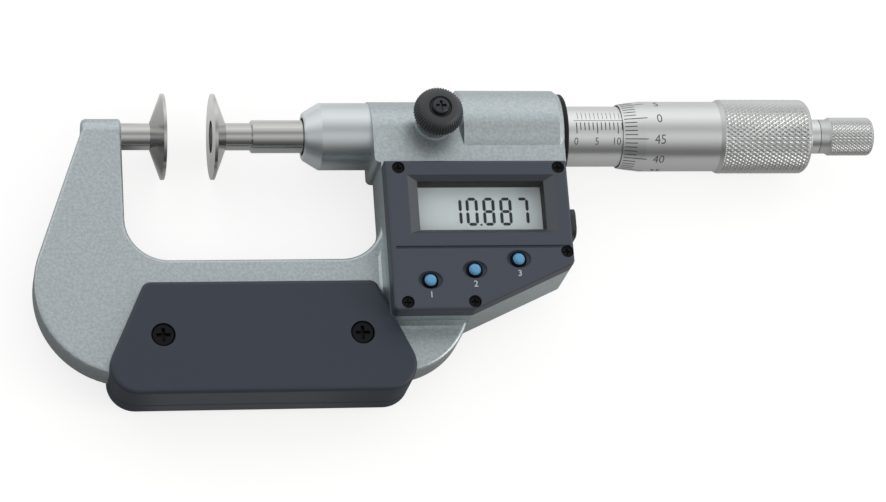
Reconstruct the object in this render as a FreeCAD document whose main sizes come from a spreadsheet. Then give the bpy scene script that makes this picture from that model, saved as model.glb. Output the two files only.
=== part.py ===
"""Digital disc micrometer, 0 to 25 mm, with a spindle that slides without turning.

Millimetres. The origin is the centre of the anvil's measuring face. +X is the measuring
axis, from the anvil towards the ratchet, +Y points up the frame and +Z out of the display.
The jaws stand open by the size jaw_gap, and every piece is modelled at that reading.
"""
import FreeCAD
import Part
import Sketcher
import math
import os
import re

SIZES = {
    # U-shaped frame
    "frame_thick": 8.2,
    "frame_edge_round": 0.9,
    "post_face_back": 10.0,
    "post_top_width": 9.0,
    "post_foot_reach": 39.8,
    "post_foot_round": 22.0,
    "frame_bottom": 59.4,
    "frame_right_round": 18.0,
    "throat_depth": 31.6,
    "throat_left_round": 10.0,
    "throat_right_round": 9.5,
    # display pod of the frame
    "pod_left": 49.0,
    "pod_right": 91.6,
    "pod_top": 11.3,
    "pod_bottom": 47.6,
    "pod_slant_start": 67.5,
    "pod_slant_end": 36.6,
    "pod_front": 9.1,
    "pod_round": 1.2,
    "pod_wall": 2.1,
    "pod_floor": 2.0,
    "pod_blend": 1.8,
    "screw_margin": 4.0,
    "screw_margin_top": 3.4,
    # hub and barrel that carry the measuring axis
    "hub_left": 47.6,
    "hub_radius": 8.1,
    "hub_flat_bottom": 10.0,
    "hub_flat_drop": 1.5,
    "hub_flat_round": 8.5,
    "barrel_left": 68.8,
    "barrel_right": 92.8,
    "barrel_radius": 10.8,
    "barrel_blend": 3.2,
    "encoder_bore": 9.0,
    "encoder_bore_left": 86.0,
    "spindle_passage": 4.2,
    # anvil and discs
    "disc_radius": 10.0,
    "disc_rim": 0.7,
    "disc_cone": 2.6,
    "anvil_stem_radius": 3.1,
    "anvil_seat_depth": 5.5,
    "jaw_gap": 11.0,
    "face_recess_radius": 3.8,
    "face_recess_depth": 1.2,
    "disc_stub_radius": 3.18,
    "disc_stub_end": 9.17,
    "disc_tenon_radius": 2.2,
    "disc_tenon_length": 6.0,
    # spindle that slides, and its guide
    "spindle_radius": 3.84,
    "spindle_rear": 64.5,
    "spindle_socket_radius": 2.6,
    "spindle_socket_depth": 6.0,
    "keyway_width": 2.0,
    "keyway_depth": 0.9,
    "key_place": 50.0,
    "travel_in": 11.0,
    "travel_out": 14.0,
    "running_gap": 0.04,
    "nose_front": 32.3,
    "nose_face_radius": 5.75,
    "nose_cone_length": 3.8,
    "nose_radius": 7.85,
    "nose_shank_radius": 6.2,
    "nose_shank_end": 60.0,
    "wiper_radius": 4.5,
    "wiper_depth": 1.7,
    "thrust_ball_radius": 1.5,
    # lead screw
    "screw_head_radius": 2.4,
    "screw_neck_radius": 1.5,
    "screw_shank_radius": 3.4,
    "screw_tail_start": 149.0,
    "screw_tail_radius": 3.0,
    "rotor_key_width": 1.0,
    "rotor_key_depth": 0.9,
    # encoder
    "rotor_left": 89.8,
    "rotor_hub_radius": 5.0,
    "rotor_hub_end": 98.0,
    "rotor_disc_radius": 8.4,
    "rotor_disc_thick": 0.9,
    "rotor_key_place": 95.0,
    "stator_gap": 0.5,
    "stator_thick": 1.6,
    # sleeves behind the barrel
    "inner_flange_length": 1.8,
    "inner_sleeve_radius": 6.3,
    "inner_sleeve_end": 137.5,
    "nut_bore_start": 117.0,
    "nut_seat_radius": 5.9,
    "nut_seat_length": 7.5,
    "nut_length": 6.5,
    "nut_radius": 7.0,
    "collar_length": 1.2,
    "collar_radius": 10.0,
    "sleeve_radius": 7.13,
    "sleeve_end": 126.0,
    # thimble and grip
    "thimble_edge": 107.7,
    "thimble_edge_radius": 7.6,
    "thimble_bevel": 5.3,
    "thimble_radius": 8.3,
    "thimble_bore": 7.4,
    "thimble_seat_radius": 7.9,
    "thimble_wall": 4.4,
    "grip_start": 131.4,
    "grip_end": 154.0,
    "grip_radius": 8.85,
    "grip_chamfer": 1.1,
    # ratchet
    "ratchet_collar_radius": 4.1,
    "ratchet_collar_length": 3.3,
    "ratchet_gap": 0.15,
    "ratchet_radius": 4.6,
    "ratchet_neck": 2.1,
    "ratchet_end": 170.7,
    "ratchet_bore": 3.3,
    "ratchet_spigot": 1.6,
    "tooth_height": 0.5,
    "tooth_gap": 0.06,
    "tooth_width": 0.4,
    "tooth_count": 24,
    "clutch_thick": 2.2,
    "ratchet_end_wall": 4.2,
    "ratchet_screw_radius": 1.4,
    "ratchet_screw_head": 2.5,
    "spring_wire": 0.25,
    "spring_pitch": 1.3,
    # spindle clamp
    "clamp_place": 62.1,
    "clamp_hole": 2.0,
    "clamp_plug_length": 4.0,
    "clamp_plug_lift": 0.26,
    "clamp_boss_radius": 4.4,
    "clamp_boss_height": 0.7,
    "clamp_bush_radius": 2.9,
    "clamp_bush_length": 1.4,
    "clamp_screw_radius": 1.5,
    "knob_radius": 5.8,
    "knob_bottom": 14.0,
    "knob_top": 18.3,
    "knob_neck_radius": 3.3,
    "knob_neck_gap": 0.5,
    "knob_dish_radius": 2.65,
    "knob_dish_depth": 0.6,
    "knob_screw_head": 2.0,
    "knob_screw_height": 1.4,
    "knob_screw_recess": 2.4,
    # display cover
    "cover_thick": 4.4,
    "cover_plate": 1.6,
    "cover_edge_round": 0.7,
    "window_left": 54.0,
    "window_right": 88.4,
    "window_top": 14.9,
    "window_bottom": 29.2,
    "window_bevel": 2.4,
    "window_bevel_depth": 1.2,
    "window_skirt": 1.3,
    "groove_place": 32.6,
    "groove_width": 0.7,
    "groove_depth": 0.5,
    "lens_thick": 1.0,
    "lcd_top_level": 8.2,
    "lcd_thick": 2.0,
    "board_thick": 1.2,
    "board_level": 3.3,
    "board_margin": 0.3,
    "strip_width": 1.6,
    # cover screws and buttons
    "cover_screw_radius": 1.4,
    "cover_screw_head": 1.1,
    "cover_screw_recess": 1.6,
    "cover_screw_recess_depth": 0.55,
    "cover_screw_sink": 0.6,
    "cover_screw_shank": 0.85,
    "cover_screw_length": 8.0,
    "button_radius": 1.36,
    "button_clearance": 0.6,
    "button_flange": 2.7,
    "button_flange_thick": 0.8,
    "button_rise": 0.55,
    "button_travel": 0.35,
    "button_first_x": 57.7,
    "button_first_y": 40.5,
    "button_step_x": 10.4,
    "button_step_y": 2.45,
    "button_dish_long": 2.85,
    "button_dish_short": 2.15,
    "button_dish_depth": 1.2,
    "switch_side": 4.0,
    # battery on the back
    "battery_x": 70.0,
    "battery_y": 26.0,
    "battery_radius": 5.8,
    "battery_height": 5.4,
    "battery_cap_radius": 6.7,
    "battery_cap_thick": 1.3,
    "battery_ring_wall": 1.2,
    "coin_slot_width": 1.6,
    "coin_slot_depth": 0.7,
    # data port cover
    "port_top": 22.4,
    "port_bottom": 29.4,
    "port_low": 3.2,
    "port_high": 12.2,
    "port_thick": 1.4,
    "port_round": 2.2,
    # heat-insulating grip plates
    "plate_wall": 3.1,
    "plate_seam": 2.0,
    "plate_top": 37.9,
    "plate_bottom": 64.3,
    "plate_left_top": 6.4,
    "plate_left_bottom": 18.3,
    "plate_right_top": 46.3,
    "plate_right_bottom": 58.1,
    "plate_top_round": 2.2,
    "plate_bottom_round": 6.5,
    "plate_edge_round": 1.0,
    "plate_seam_round": 0.35,
    "plate_screw_left": -2.6,
    "plate_screw_right": 42.5,
    "plate_screw_y": 50.6,
    "plate_screw_head": 2.65,
    "plate_screw_height": 1.7,
    "plate_screw_recess": 3.2,
    "plate_screw_recess_depth": 1.1,
    "plate_screw_sink": 0.3,
    "plate_screw_shank": 1.4,
    "plate_screw_length": 5.0,
}

doc = FreeCAD.newDocument("disc_micrometer")
sheet = doc.addObject("Spreadsheet::Sheet", "Sizes")
for row, (alias, number) in enumerate(SIZES.items(), 1):
    sheet.set("A%d" % row, str(number))
    sheet.setAlias("A%d" % row, alias)
doc.recompute()

TINY = 1e-4
nodes = []


def linked(formula):
    """A formula over size names, with each name pointing at its cell in the sheet."""
    return re.sub(r"[a-z][a-z_]*", lambda word: "Sizes." + word.group(0), formula)


def bind(thing, prop, formula):
    """Tie one property to a formula, unless the formula is a plain number."""
    thing.setExpression(prop, linked(formula))


def node(thing, label):
    """Name a finished piece and keep it for the output."""
    thing.Label = label
    nodes.append(thing)
    return thing


def new_body(name):
    return doc.addObject("PartDesign::Body", name)


def plane_of(body, role):
    return next(item for item in body.Origin.OriginFeatures if item.Role == role)


def new_sketch(body, name, role, level="0"):
    """Empty sketch on an origin plane of the body, lifted along the plane's normal."""
    sketch = body.newObject("Sketcher::SketchObject", name)
    sketch.AttachmentSupport = [(plane_of(body, role), "")]
    sketch.MapMode = "FlatFace"
    if level != "0":
        bind(sketch, "AttachmentOffset.Base.z", level)
    return sketch


def hold_point(sketch, item, position, x, y):
    """Fix a point of the sketch at two formulas measured from the sketch's origin."""
    for kind, formula in (("DistanceX", x), ("DistanceY", y)):
        index = sketch.addConstraint(Sketcher.Constraint(kind, -1, 1, item, position, 1.0))
        bind(sketch, "Constraints[%d]" % index, formula)


def outline(body, name, role, corners, level="0"):
    """Closed outline with straight sides; every corner is a pair of formulas."""
    sketch = new_sketch(body, name, role, level)
    count = len(corners)
    start = [FreeCAD.Vector(math.cos(2 * math.pi * i / count), math.sin(2 * math.pi * i / count), 0)
             for i in range(count)]
    for i in range(count):
        sketch.addGeometry(Part.LineSegment(start[i], start[(i + 1) % count]), False)
    for i in range(count):
        sketch.addConstraint(Sketcher.Constraint("Coincident", i, 2, (i + 1) % count, 1))
    for i, corner in enumerate(corners):
        hold_point(sketch, i, 1, corner[0], corner[1])
    return sketch


def round_sketch(body, name, role, centres, radius, level="0"):
    """One sketch with a circle of the same radius at each centre."""
    sketch = new_sketch(body, name, role, level)
    for i, (x, y) in enumerate(centres):
        sketch.addGeometry(Part.Circle(FreeCAD.Vector(i, 0, 0), FreeCAD.Vector(0, 0, 1), 1.0), False)
        hold_point(sketch, i, 3, x, y)
        index = sketch.addConstraint(Sketcher.Constraint("Radius", i, 1.0))
        bind(sketch, "Constraints[%d]" % index, radius)
    return sketch


def extrude(body, name, sketch, height, cut=False):
    """Pad the sketch along +Z by the height, or cut that volume away."""
    before = body.Shape.Volume if cut else 0
    feature = body.newObject("PartDesign::Pocket" if cut else "PartDesign::Pad", name)
    feature.Profile = sketch
    feature.Reversed = cut
    bind(feature, "Length", height)
    doc.recompute()
    if cut and before - feature.Shape.Volume < TINY:
        raise RuntimeError(name + " cuts nothing")
    return feature


def upright_edges(shape, points):
    """Names of the edges that stand along Z at the given points."""
    found = []
    for number, edge in enumerate(shape.Edges, 1):
        ends = [vertex.Point for vertex in edge.Vertexes]
        if len(ends) != 2 or math.hypot(ends[0].x - ends[1].x, ends[0].y - ends[1].y) > TINY:
            continue
        if any(math.hypot(ends[0].x - point.x, ends[0].y - point.y) < TINY for point in points):
            found.append("Edge%d" % number)
    return found


def round_edges(body, name, names, radius):
    """Round the named edges of the body's last feature."""
    base = body.Tip
    fillet = body.newObject("PartDesign::Fillet", name)
    fillet.Base = (base, names)
    bind(fillet, "Radius", radius)
    doc.recompute()


def round_corners(body, name, sketch, corners):
    """Round the upright edges of the corners that name a radius as their third value."""
    for radius in sorted({corner[2] for corner in corners if len(corner) == 3}):
        points = [sketch.Geometry[i].StartPoint for i, corner in enumerate(corners)
                  if len(corner) == 3 and corner[2] == radius]
        round_edges(body, name + "_" + radius, upright_edges(body.Tip.Shape, points), radius)


def edges_at(shape, x=None, y=None, z=None):
    """Names of the edges whose ends share the given coordinates."""
    found = []
    for number, edge in enumerate(shape.Edges, 1):
        ends = [vertex.Point for vertex in edge.Vertexes]
        if all((x is None or abs(end.x - x) < TINY) and (y is None or abs(end.y - y) < TINY)
               and (z is None or abs(end.z - z) < TINY) for end in ends):
            found.append("Edge%d" % number)
    return found


def top_edges(shape):
    """Names of the edges that lie in the highest flat face of a shape."""
    return edges_at(shape, z=shape.BoundBox.ZMax)


def bottom_edges(shape):
    """Names of the edges that lie in the lowest flat face of a shape."""
    return edges_at(shape, z=shape.BoundBox.ZMin)


def slab(body, name, corners, level, height, cut=False):
    """Prism over an outline in the XY plane, with its named corners rounded."""
    sketch = outline(body, name + "_outline", "XY_Plane", corners, level)
    extrude(body, name, sketch, height, cut)
    round_corners(body, name, sketch, corners)


def holes(body, name, centres, radius, level, height):
    """Round holes that rise by the height from the level."""
    sketch = round_sketch(body, name + "_circles", "XY_Plane", centres, radius, level)
    extrude(body, name, sketch, height, True)


def turn(body, name, profile, axis="H_Axis", role="XY_Plane", cut=False):
    """Full turn of a straight-sided profile about the sketch's own axis."""
    before = body.Shape.Volume if cut else 0
    sketch = outline(body, name + "_profile", role, profile)
    feature = body.newObject("PartDesign::Groove" if cut else "PartDesign::Revolution", name)
    feature.Profile = sketch
    feature.ReferenceAxis = (sketch, [axis])
    feature.Angle = 360.0
    doc.recompute()
    if cut and before - feature.Shape.Volume < TINY:
        raise RuntimeError(name + " cuts nothing")
    return feature


def turned(label, profile):
    """Piece turned about the measuring axis: profile corners are X and radius."""
    body = new_body(label)
    turn(body, label + "_turn", profile)
    return node(body, label)


def turned_upright(label, profile, x="0", y="0"):
    """Piece turned about a line along Z at x, y: profile corners are radius and Z."""
    body = new_body(label)
    turn(body, label + "_turn", profile, "V_Axis", "XZ_Plane")
    if x != "0":
        bind(body, "Placement.Base.x", x)
    if y != "0":
        bind(body, "Placement.Base.y", y)
    return body


def ring(label, start, end, inner, outer):
    """Plain ring about the measuring axis."""
    return turned(label, [(start, inner), (start, outer), (end, outer), (end, inner)])


def block(body, name, x, y, z, length, width, height, cut=False):
    """Box of the body from its low corner."""
    kind = "PartDesign::SubtractiveBox" if cut else "PartDesign::AdditiveBox"
    box = body.newObject(kind, name)
    for prop, formula in (("Length", length), ("Width", width), ("Height", height)):
        bind(box, prop, formula)
    for letter, formula in (("x", x), ("y", y), ("z", z)):
        bind(box, "Placement.Base." + letter, formula)
    doc.recompute()
    return box


def cross_recess(body, name, length, level, depth):
    """Crossed slots cut into a screw head about the body's own upright axis."""
    width = length + " / 4"
    block(body, name + "_along", "-" + length + " / 2", "-" + width + " / 2", level,
          length, width, depth, True)
    block(body, name + "_across", "-" + width + " / 2", "-" + length + " / 2", level,
          width, length, depth, True)


def group(label, members):
    """Like pieces that share one node as separate solids."""
    compound = doc.addObject("Part::Compound", label)
    compound.Links = members
    return node(compound, label)


# Formulas that several pieces share.
BACK = "-frame_thick / 2"
SPINDLE_FRONT = "jaw_gap + disc_stub_end"
SPINDLE_REAR = "jaw_gap + spindle_rear"
COVER_TOP = "pod_front + cover_thick"
BOSS_TOP = "pod_front + clamp_boss_height"
SCREW_START = "jaw_gap + spindle_rear - spindle_socket_depth + 2 * thrust_ball_radius"
PLATE_FACE = "frame_thick / 2 + plate_wall"
COVER_SCREWS = [
    ("pod_left + 3.1", "-pod_top - 1.8"),
    ("pod_right - 2.1", "-pod_top - 1.8"),
    ("pod_right - 1.6", "-pod_slant_end + 2.8"),
    ("pod_left + 3.2", "-pod_bottom + 1.9"),
    ("pod_slant_start + 0.1", "-pod_bottom + 1.9"),
]
BUTTONS = [("button_first_x + %d * button_step_x" % i, "-button_first_y + %d * button_step_y" % i)
           for i in range(3)]
PLATE_SCREWS = [("plate_screw_left", "-plate_screw_y"), ("plate_screw_right", "-plate_screw_y")]

POD_OUTLINE = [
    ("pod_left", "-pod_bottom", "pod_round"),
    ("pod_slant_start", "-pod_bottom", "pod_round"),
    ("pod_right", "-pod_slant_end", "pod_round"),
    ("pod_right", "-pod_top"),
    ("pod_left", "-pod_top"),
]
POD_CAVITY = [
    ("pod_left + pod_wall", "-pod_bottom + screw_margin"),
    ("pod_slant_start + 3.2", "-pod_bottom + screw_margin"),
    ("pod_right - screw_margin", "-pod_slant_end + 0.6"),
    ("pod_right - screw_margin", "-pod_slant_end + 5.4"),
    ("pod_right - pod_wall", "-pod_slant_end + 5.4"),
    ("pod_right - pod_wall", "-pod_top - screw_margin_top"),
    ("pod_left + pod_wall", "-pod_top - screw_margin_top"),
]


def pod_blend(body):
    """Hollow blend where the frame's front face rises into the pod's left and lower walls."""
    sections = []
    for i, (spread, level) in enumerate((("pod_blend", "-0.3"), ("pod_blend * 0.42", "0.45"),
                                         ("-0.4", "2.6"))):
        sections.append(outline(body, "pod_blend_%d" % i, "XY_Plane", [
            ("pod_left - (" + spread + ")", "-pod_bottom - (" + spread + ")"),
            ("pod_slant_start - 0.6 - (" + spread + ")", "-pod_bottom - (" + spread + ")"),
            ("pod_slant_start - 1.5", "-pod_bottom + 3"),
            ("pod_left + 3", "-throat_depth + 8"),
            ("pod_left + 0.4", "-throat_depth + 5"),
            ("pod_left - (" + spread + ")", "-throat_depth"),
        ], "frame_thick / 2 + (" + level + ")"))
    loft = body.newObject("PartDesign::AdditiveLoft", "pod_blend")
    loft.Profile = sections[0]
    loft.Sections = sections[1:]
    loft.Ruled = True
    doc.recompute()


def frame_casting():
    """Enamelled casting: anvil post, U, display pod, hub and barrel, with all its bores."""
    body = new_body("frame_casting")
    u_outline = [
        ("-post_face_back", "0"),
        ("-post_face_back - post_top_width - 0.15", "0"),
        ("-post_foot_reach", "-frame_bottom", "post_foot_round"),
        ("pod_slant_start + 0.9", "-frame_bottom", "frame_right_round"),
        ("pod_slant_start + 0.9", "-pod_top - 1"),
        ("pod_left", "-pod_top - 1"),
        ("pod_left", "-throat_depth", "throat_right_round"),
        ("-post_face_back", "-throat_depth", "throat_left_round"),
    ]
    slab(body, "u_frame", u_outline, BACK, "frame_thick")
    tip_line = edges_at(body.Tip.Shape, y=0)
    rims = [name for name in top_edges(body.Tip.Shape) + bottom_edges(body.Tip.Shape)
            if name not in tip_line]
    round_edges(body, "u_frame_rims", rims, "frame_edge_round")

    post_end = "-post_face_back - post_top_width"
    turn(body, "post_tip", [
        ("-post_face_back", "0"),
        ("-post_face_back", "frame_thick / 2 - 0.4"),
        ("-post_face_back - 0.4", "frame_thick / 2"),
        (post_end + " + 0.9", "frame_thick / 2"),
        (post_end + " + 0.25", "frame_thick / 2 - 0.3"),
        (post_end, "frame_thick / 2 - 0.9"),
        (post_end, "0"),
    ])
    pod_block = POD_OUTLINE[:3] + [("pod_right", "-hub_flat_bottom + 1"),
                                   ("pod_left", "-hub_flat_bottom + 1")]
    slab(body, "pod", pod_block, BACK, "pod_front + frame_thick / 2")
    pod_blend(body)
    lean = "hub_radius * 2 ^ 0.5"
    hub_flat = outline(body, "hub_flat_outline", "YZ_Plane", [
        ("-hub_flat_bottom", BACK + " - hub_flat_drop"),
        ("-hub_flat_bottom", "pod_front"),
        (lean + " - pod_front", "pod_front"),
        ("hub_radius / 2 ^ 0.5", "hub_radius / 2 ^ 0.5"),
        ("0", "0"),
        ("0", BACK + " - hub_flat_drop"),
    ], "hub_left")
    extrude(body, "hub_flat", hub_flat, "barrel_right - 0.1 - hub_left")
    crest_y = SIZES["hub_radius"] * math.sqrt(2) - SIZES["pod_front"]
    crest = edges_at(body.Tip.Shape, y=crest_y, z=SIZES["pod_front"])
    round_edges(body, "hub_flat_crest", crest, "hub_flat_round")
    corner = edges_at(body.Tip.Shape, x=SIZES["hub_left"], y=-SIZES["hub_flat_bottom"])
    round_edges(body, "hub_flat_corner", corner, "pod_round")
    turn(body, "hub_and_barrel", [
        ("hub_left", "0"),
        ("hub_left", "hub_radius"),
        ("barrel_left - barrel_blend", "hub_radius"),
        ("barrel_left - barrel_blend * 0.6", "hub_radius + (barrel_radius - hub_radius) * 0.15"),
        ("barrel_left - barrel_blend * 0.3", "hub_radius + (barrel_radius - hub_radius) * 0.4"),
        ("barrel_left - barrel_blend * 0.1", "hub_radius + (barrel_radius - hub_radius) * 0.7"),
        ("barrel_left", "barrel_radius"),
        ("barrel_right - 1.2", "barrel_radius"),
        ("barrel_right", "barrel_radius - 0.8"),
        ("barrel_right", "0"),
    ])
    boss = round_sketch(body, "clamp_boss_circle", "XY_Plane", [("clamp_place", "0")],
                        "clamp_boss_radius", "0")
    extrude(body, "clamp_boss", boss, BOSS_TOP)

    turn(body, "anvil_seat", [
        ("-post_face_back - anvil_seat_depth", "0"),
        ("-post_face_back - anvil_seat_depth", "anvil_stem_radius"),
        ("-post_face_back + 1", "anvil_stem_radius"),
        ("-post_face_back + 1", "0"),
    ], cut=True)
    turn(body, "main_bore", [
        ("hub_left - 1", "0"),
        ("hub_left - 1", "nose_shank_radius"),
        ("nose_shank_end", "nose_shank_radius"),
        ("nose_shank_end", "spindle_passage"),
        ("encoder_bore_left", "spindle_passage"),
        ("encoder_bore_left", "encoder_bore"),
        ("barrel_right + 1", "encoder_bore"),
        ("barrel_right + 1", "0"),
    ], cut=True)
    slab(body, "pod_cavity", POD_CAVITY, BACK + " + pod_floor", "pod_front + frame_thick / 2", True)
    holes(body, "clamp_hole", [("clamp_place", "0")], "clamp_hole", "0", BOSS_TOP + " + 1")
    holes(body, "clamp_bush_seat", [("clamp_place", "0")], "clamp_bush_radius",
          BOSS_TOP + " - clamp_bush_length", "clamp_bush_length + 1")
    holes(body, "cover_screw_holes", COVER_SCREWS, "cover_screw_shank",
          COVER_TOP + " - cover_screw_sink - cover_screw_length - 0.5", "cover_screw_length + 1")
    holes(body, "plate_screw_holes", PLATE_SCREWS, "plate_screw_shank", BACK + " - 1", "frame_thick + 2")
    holes(body, "battery_door_hole", [("battery_x", "-battery_y")], "battery_cap_radius",
          BACK + " - 1", "pod_floor + 2")
    return node(body, "frame_casting")


def measuring_pieces():
    """Anvil, moving disc, spindle with its keyway, guide sleeve, wiper, key and thrust ball."""
    turned("anvil", [
        ("0", "0"),
        ("0", "disc_radius"),
        ("-disc_rim", "disc_radius"),
        ("-disc_rim - disc_cone", "anvil_stem_radius"),
        ("-post_face_back - anvil_seat_depth + 0.5", "anvil_stem_radius"),
        ("-post_face_back - anvil_seat_depth + 0.5", "0"),
    ])
    turned("spindle_disc", [
        ("jaw_gap + face_recess_depth", "0"),
        ("jaw_gap + face_recess_depth", "face_recess_radius"),
        ("jaw_gap", "face_recess_radius"),
        ("jaw_gap", "disc_radius"),
        ("jaw_gap + disc_rim", "disc_radius"),
        ("jaw_gap + disc_rim + disc_cone", "disc_stub_radius"),
        (SPINDLE_FRONT, "disc_stub_radius"),
        (SPINDLE_FRONT, "disc_tenon_radius"),
        (SPINDLE_FRONT + " + disc_tenon_length", "disc_tenon_radius"),
        (SPINDLE_FRONT + " + disc_tenon_length", "0"),
    ])
    spindle = turned("spindle", [
        (SPINDLE_FRONT + " + disc_tenon_length", "0"),
        (SPINDLE_FRONT + " + disc_tenon_length", "disc_tenon_radius"),
        (SPINDLE_FRONT, "disc_tenon_radius"),
        (SPINDLE_FRONT, "spindle_radius - 0.3"),
        (SPINDLE_FRONT + " + 0.3", "spindle_radius"),
        (SPINDLE_REAR, "spindle_radius"),
        (SPINDLE_REAR, "spindle_socket_radius"),
        (SPINDLE_REAR + " - spindle_socket_depth", "spindle_socket_radius"),
        (SPINDLE_REAR + " - spindle_socket_depth", "0"),
    ])
    block(spindle, "keyway", "key_place - travel_out - keyway_width / 2", "-keyway_width / 2",
          "-spindle_radius - 1", "travel_in + travel_out + keyway_width + 1", "keyway_width",
          "keyway_depth + 1", True)
    nose = turned("nose_sleeve", [
        ("nose_front", "wiper_radius"),
        ("nose_front", "nose_face_radius - 0.3"),
        ("nose_front + 0.3", "nose_face_radius"),
        ("nose_front + nose_cone_length", "nose_radius"),
        ("hub_left", "nose_radius"),
        ("hub_left", "nose_shank_radius"),
        ("nose_shank_end", "nose_shank_radius"),
        ("nose_shank_end", "spindle_radius + running_gap"),
        ("nose_front + wiper_depth", "spindle_radius + running_gap"),
        ("nose_front + wiper_depth", "wiper_radius"),
    ])
    holes(nose, "key_hole", [("key_place", "0")], "keyway_width / 2 - running_gap",
          "-nose_shank_radius - 1", "nose_shank_radius + 1")
    ring("spindle_wiper", "nose_front + 0.3", "nose_front + wiper_depth",
         "spindle_radius + running_gap", "wiper_radius")
    key = turned_upright("anti_rotation_key", [
        ("0", "-nose_shank_radius + 0.05"),
        ("keyway_width / 2 - running_gap", "-nose_shank_radius + 0.05"),
        ("keyway_width / 2 - running_gap", "-spindle_radius + keyway_depth - 0.1"),
        ("0", "-spindle_radius + keyway_depth - 0.1"),
    ], "key_place")
    node(key, "anti_rotation_key")

    ball = doc.addObject("Part::Sphere", "thrust_ball")
    bind(ball, "Radius", "thrust_ball_radius")
    bind(ball, "Placement.Base.x", SPINDLE_REAR + " - spindle_socket_depth + thrust_ball_radius")
    node(ball, "thrust_ball")
    ring("thrust_nut", SPINDLE_REAR + " - 1.7", SPINDLE_REAR + " - 0.1",
         "screw_neck_radius + 0.2", "spindle_socket_radius")


def encoder_pieces():
    """Rotor with its key and stator ring of the rotary encoder."""
    rotor = turned("encoder_rotor", [
        ("rotor_left", "screw_shank_radius + running_gap"),
        ("rotor_left", "rotor_disc_radius"),
        ("rotor_left + rotor_disc_thick", "rotor_disc_radius"),
        ("rotor_left + rotor_disc_thick", "rotor_hub_radius"),
        ("rotor_hub_end", "rotor_hub_radius"),
        ("rotor_hub_end", "screw_shank_radius + running_gap"),
    ])
    holes(rotor, "rotor_key_hole", [("rotor_key_place", "0")], "rotor_key_width / 2",
          "0", "rotor_hub_radius + 1")
    key = turned_upright("rotor_key", [
        ("0", "screw_shank_radius - rotor_key_depth + 0.1"),
        ("rotor_key_width / 2", "screw_shank_radius - rotor_key_depth + 0.1"),
        ("rotor_key_width / 2", "rotor_hub_radius - 0.1"),
        ("0", "rotor_hub_radius - 0.1"),
    ], "rotor_key_place")
    node(key, "rotor_key")
    stator_end = "rotor_left - stator_gap"
    ring("encoder_stator", stator_end + " - stator_thick", stator_end,
         "spindle_passage", "encoder_bore")


def sleeve_pieces():
    """Threaded inner sleeve, black collar, graduated sleeve and the slack adjusting nut."""
    turned("inner_sleeve", [
        ("barrel_right - inner_flange_length", "rotor_hub_radius + running_gap"),
        ("barrel_right - inner_flange_length", "encoder_bore"),
        ("barrel_right", "encoder_bore"),
        ("barrel_right", "inner_sleeve_radius"),
        ("inner_sleeve_end - nut_seat_length", "inner_sleeve_radius"),
        ("inner_sleeve_end - nut_seat_length", "nut_seat_radius"),
        ("inner_sleeve_end", "nut_seat_radius"),
        ("inner_sleeve_end", "screw_shank_radius + running_gap"),
        ("nut_bore_start", "screw_shank_radius + running_gap"),
        ("nut_bore_start", "rotor_hub_radius - 0.6"),
        ("rotor_hub_end + 0.2", "rotor_hub_radius - 0.6"),
        ("rotor_hub_end + 0.2", "rotor_hub_radius + running_gap"),
    ])
    turned("collar_ring", [
        ("barrel_right", "inner_sleeve_radius"),
        ("barrel_right", "collar_radius"),
        ("barrel_right + collar_length - 0.3", "collar_radius"),
        ("barrel_right + collar_length", "collar_radius - 0.3"),
        ("barrel_right + collar_length", "inner_sleeve_radius"),
    ])
    ring("graduated_sleeve", "barrel_right + collar_length", "sleeve_end",
         "inner_sleeve_radius", "sleeve_radius")
    nut_start = "inner_sleeve_end - nut_seat_length + 0.3"
    ring("adjusting_nut", nut_start, nut_start + " + nut_length", "nut_seat_radius", "nut_radius")


def thimble_pieces():
    """Lead screw, thimble, knurled grip sleeve and the ratchet's collar and screw."""
    screw = turned("lead_screw", [
        (SCREW_START, "0"),
        (SCREW_START, "screw_head_radius"),
        (SPINDLE_REAR + " - 1.9", "screw_head_radius"),
        (SPINDLE_REAR + " - 1.9", "screw_neck_radius"),
        (SPINDLE_REAR + " + 0.2", "screw_neck_radius"),
        (SPINDLE_REAR + " + 0.2", "screw_shank_radius"),
        ("screw_tail_start", "screw_shank_radius"),
        ("screw_tail_start + 0.5", "screw_tail_radius"),
        ("grip_end - 0.1", "screw_tail_radius"),
        ("grip_end - 0.1", "ratchet_screw_radius"),
        ("screw_tail_start + 1", "ratchet_screw_radius"),
        ("screw_tail_start + 1", "0"),
    ])
    block(screw, "rotor_keyway", "rotor_key_place - travel_out - rotor_key_width",
          "-rotor_key_width / 2 - running_gap", "screw_shank_radius - rotor_key_depth",
          "travel_in + travel_out + 2 * rotor_key_width", "rotor_key_width + 2 * running_gap",
          "rotor_key_depth + 1", True)
    turned("thimble", [
        ("thimble_edge", "thimble_bore"),
        ("thimble_edge", "thimble_edge_radius"),
        ("thimble_edge + thimble_bevel", "thimble_radius"),
        ("grip_start", "thimble_radius"),
        ("grip_start", "thimble_seat_radius"),
        ("grip_end - 0.1", "thimble_seat_radius"),
        ("grip_end - 0.1", "screw_tail_radius"),
        ("grip_end - thimble_wall", "screw_tail_radius"),
        ("grip_end - thimble_wall", "thimble_bore"),
    ])
    turned("thimble_grip", [
        ("grip_start", "thimble_seat_radius"),
        ("grip_start", "thimble_radius"),
        ("grip_start + grip_chamfer", "grip_radius"),
        ("grip_end - 1.3", "grip_radius"),
        ("grip_end - 0.6", "grip_radius - 0.6"),
        ("grip_end - 0.1", "grip_radius - 0.8"),
        ("grip_end - 0.1", "thimble_seat_radius"),
    ])


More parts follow.
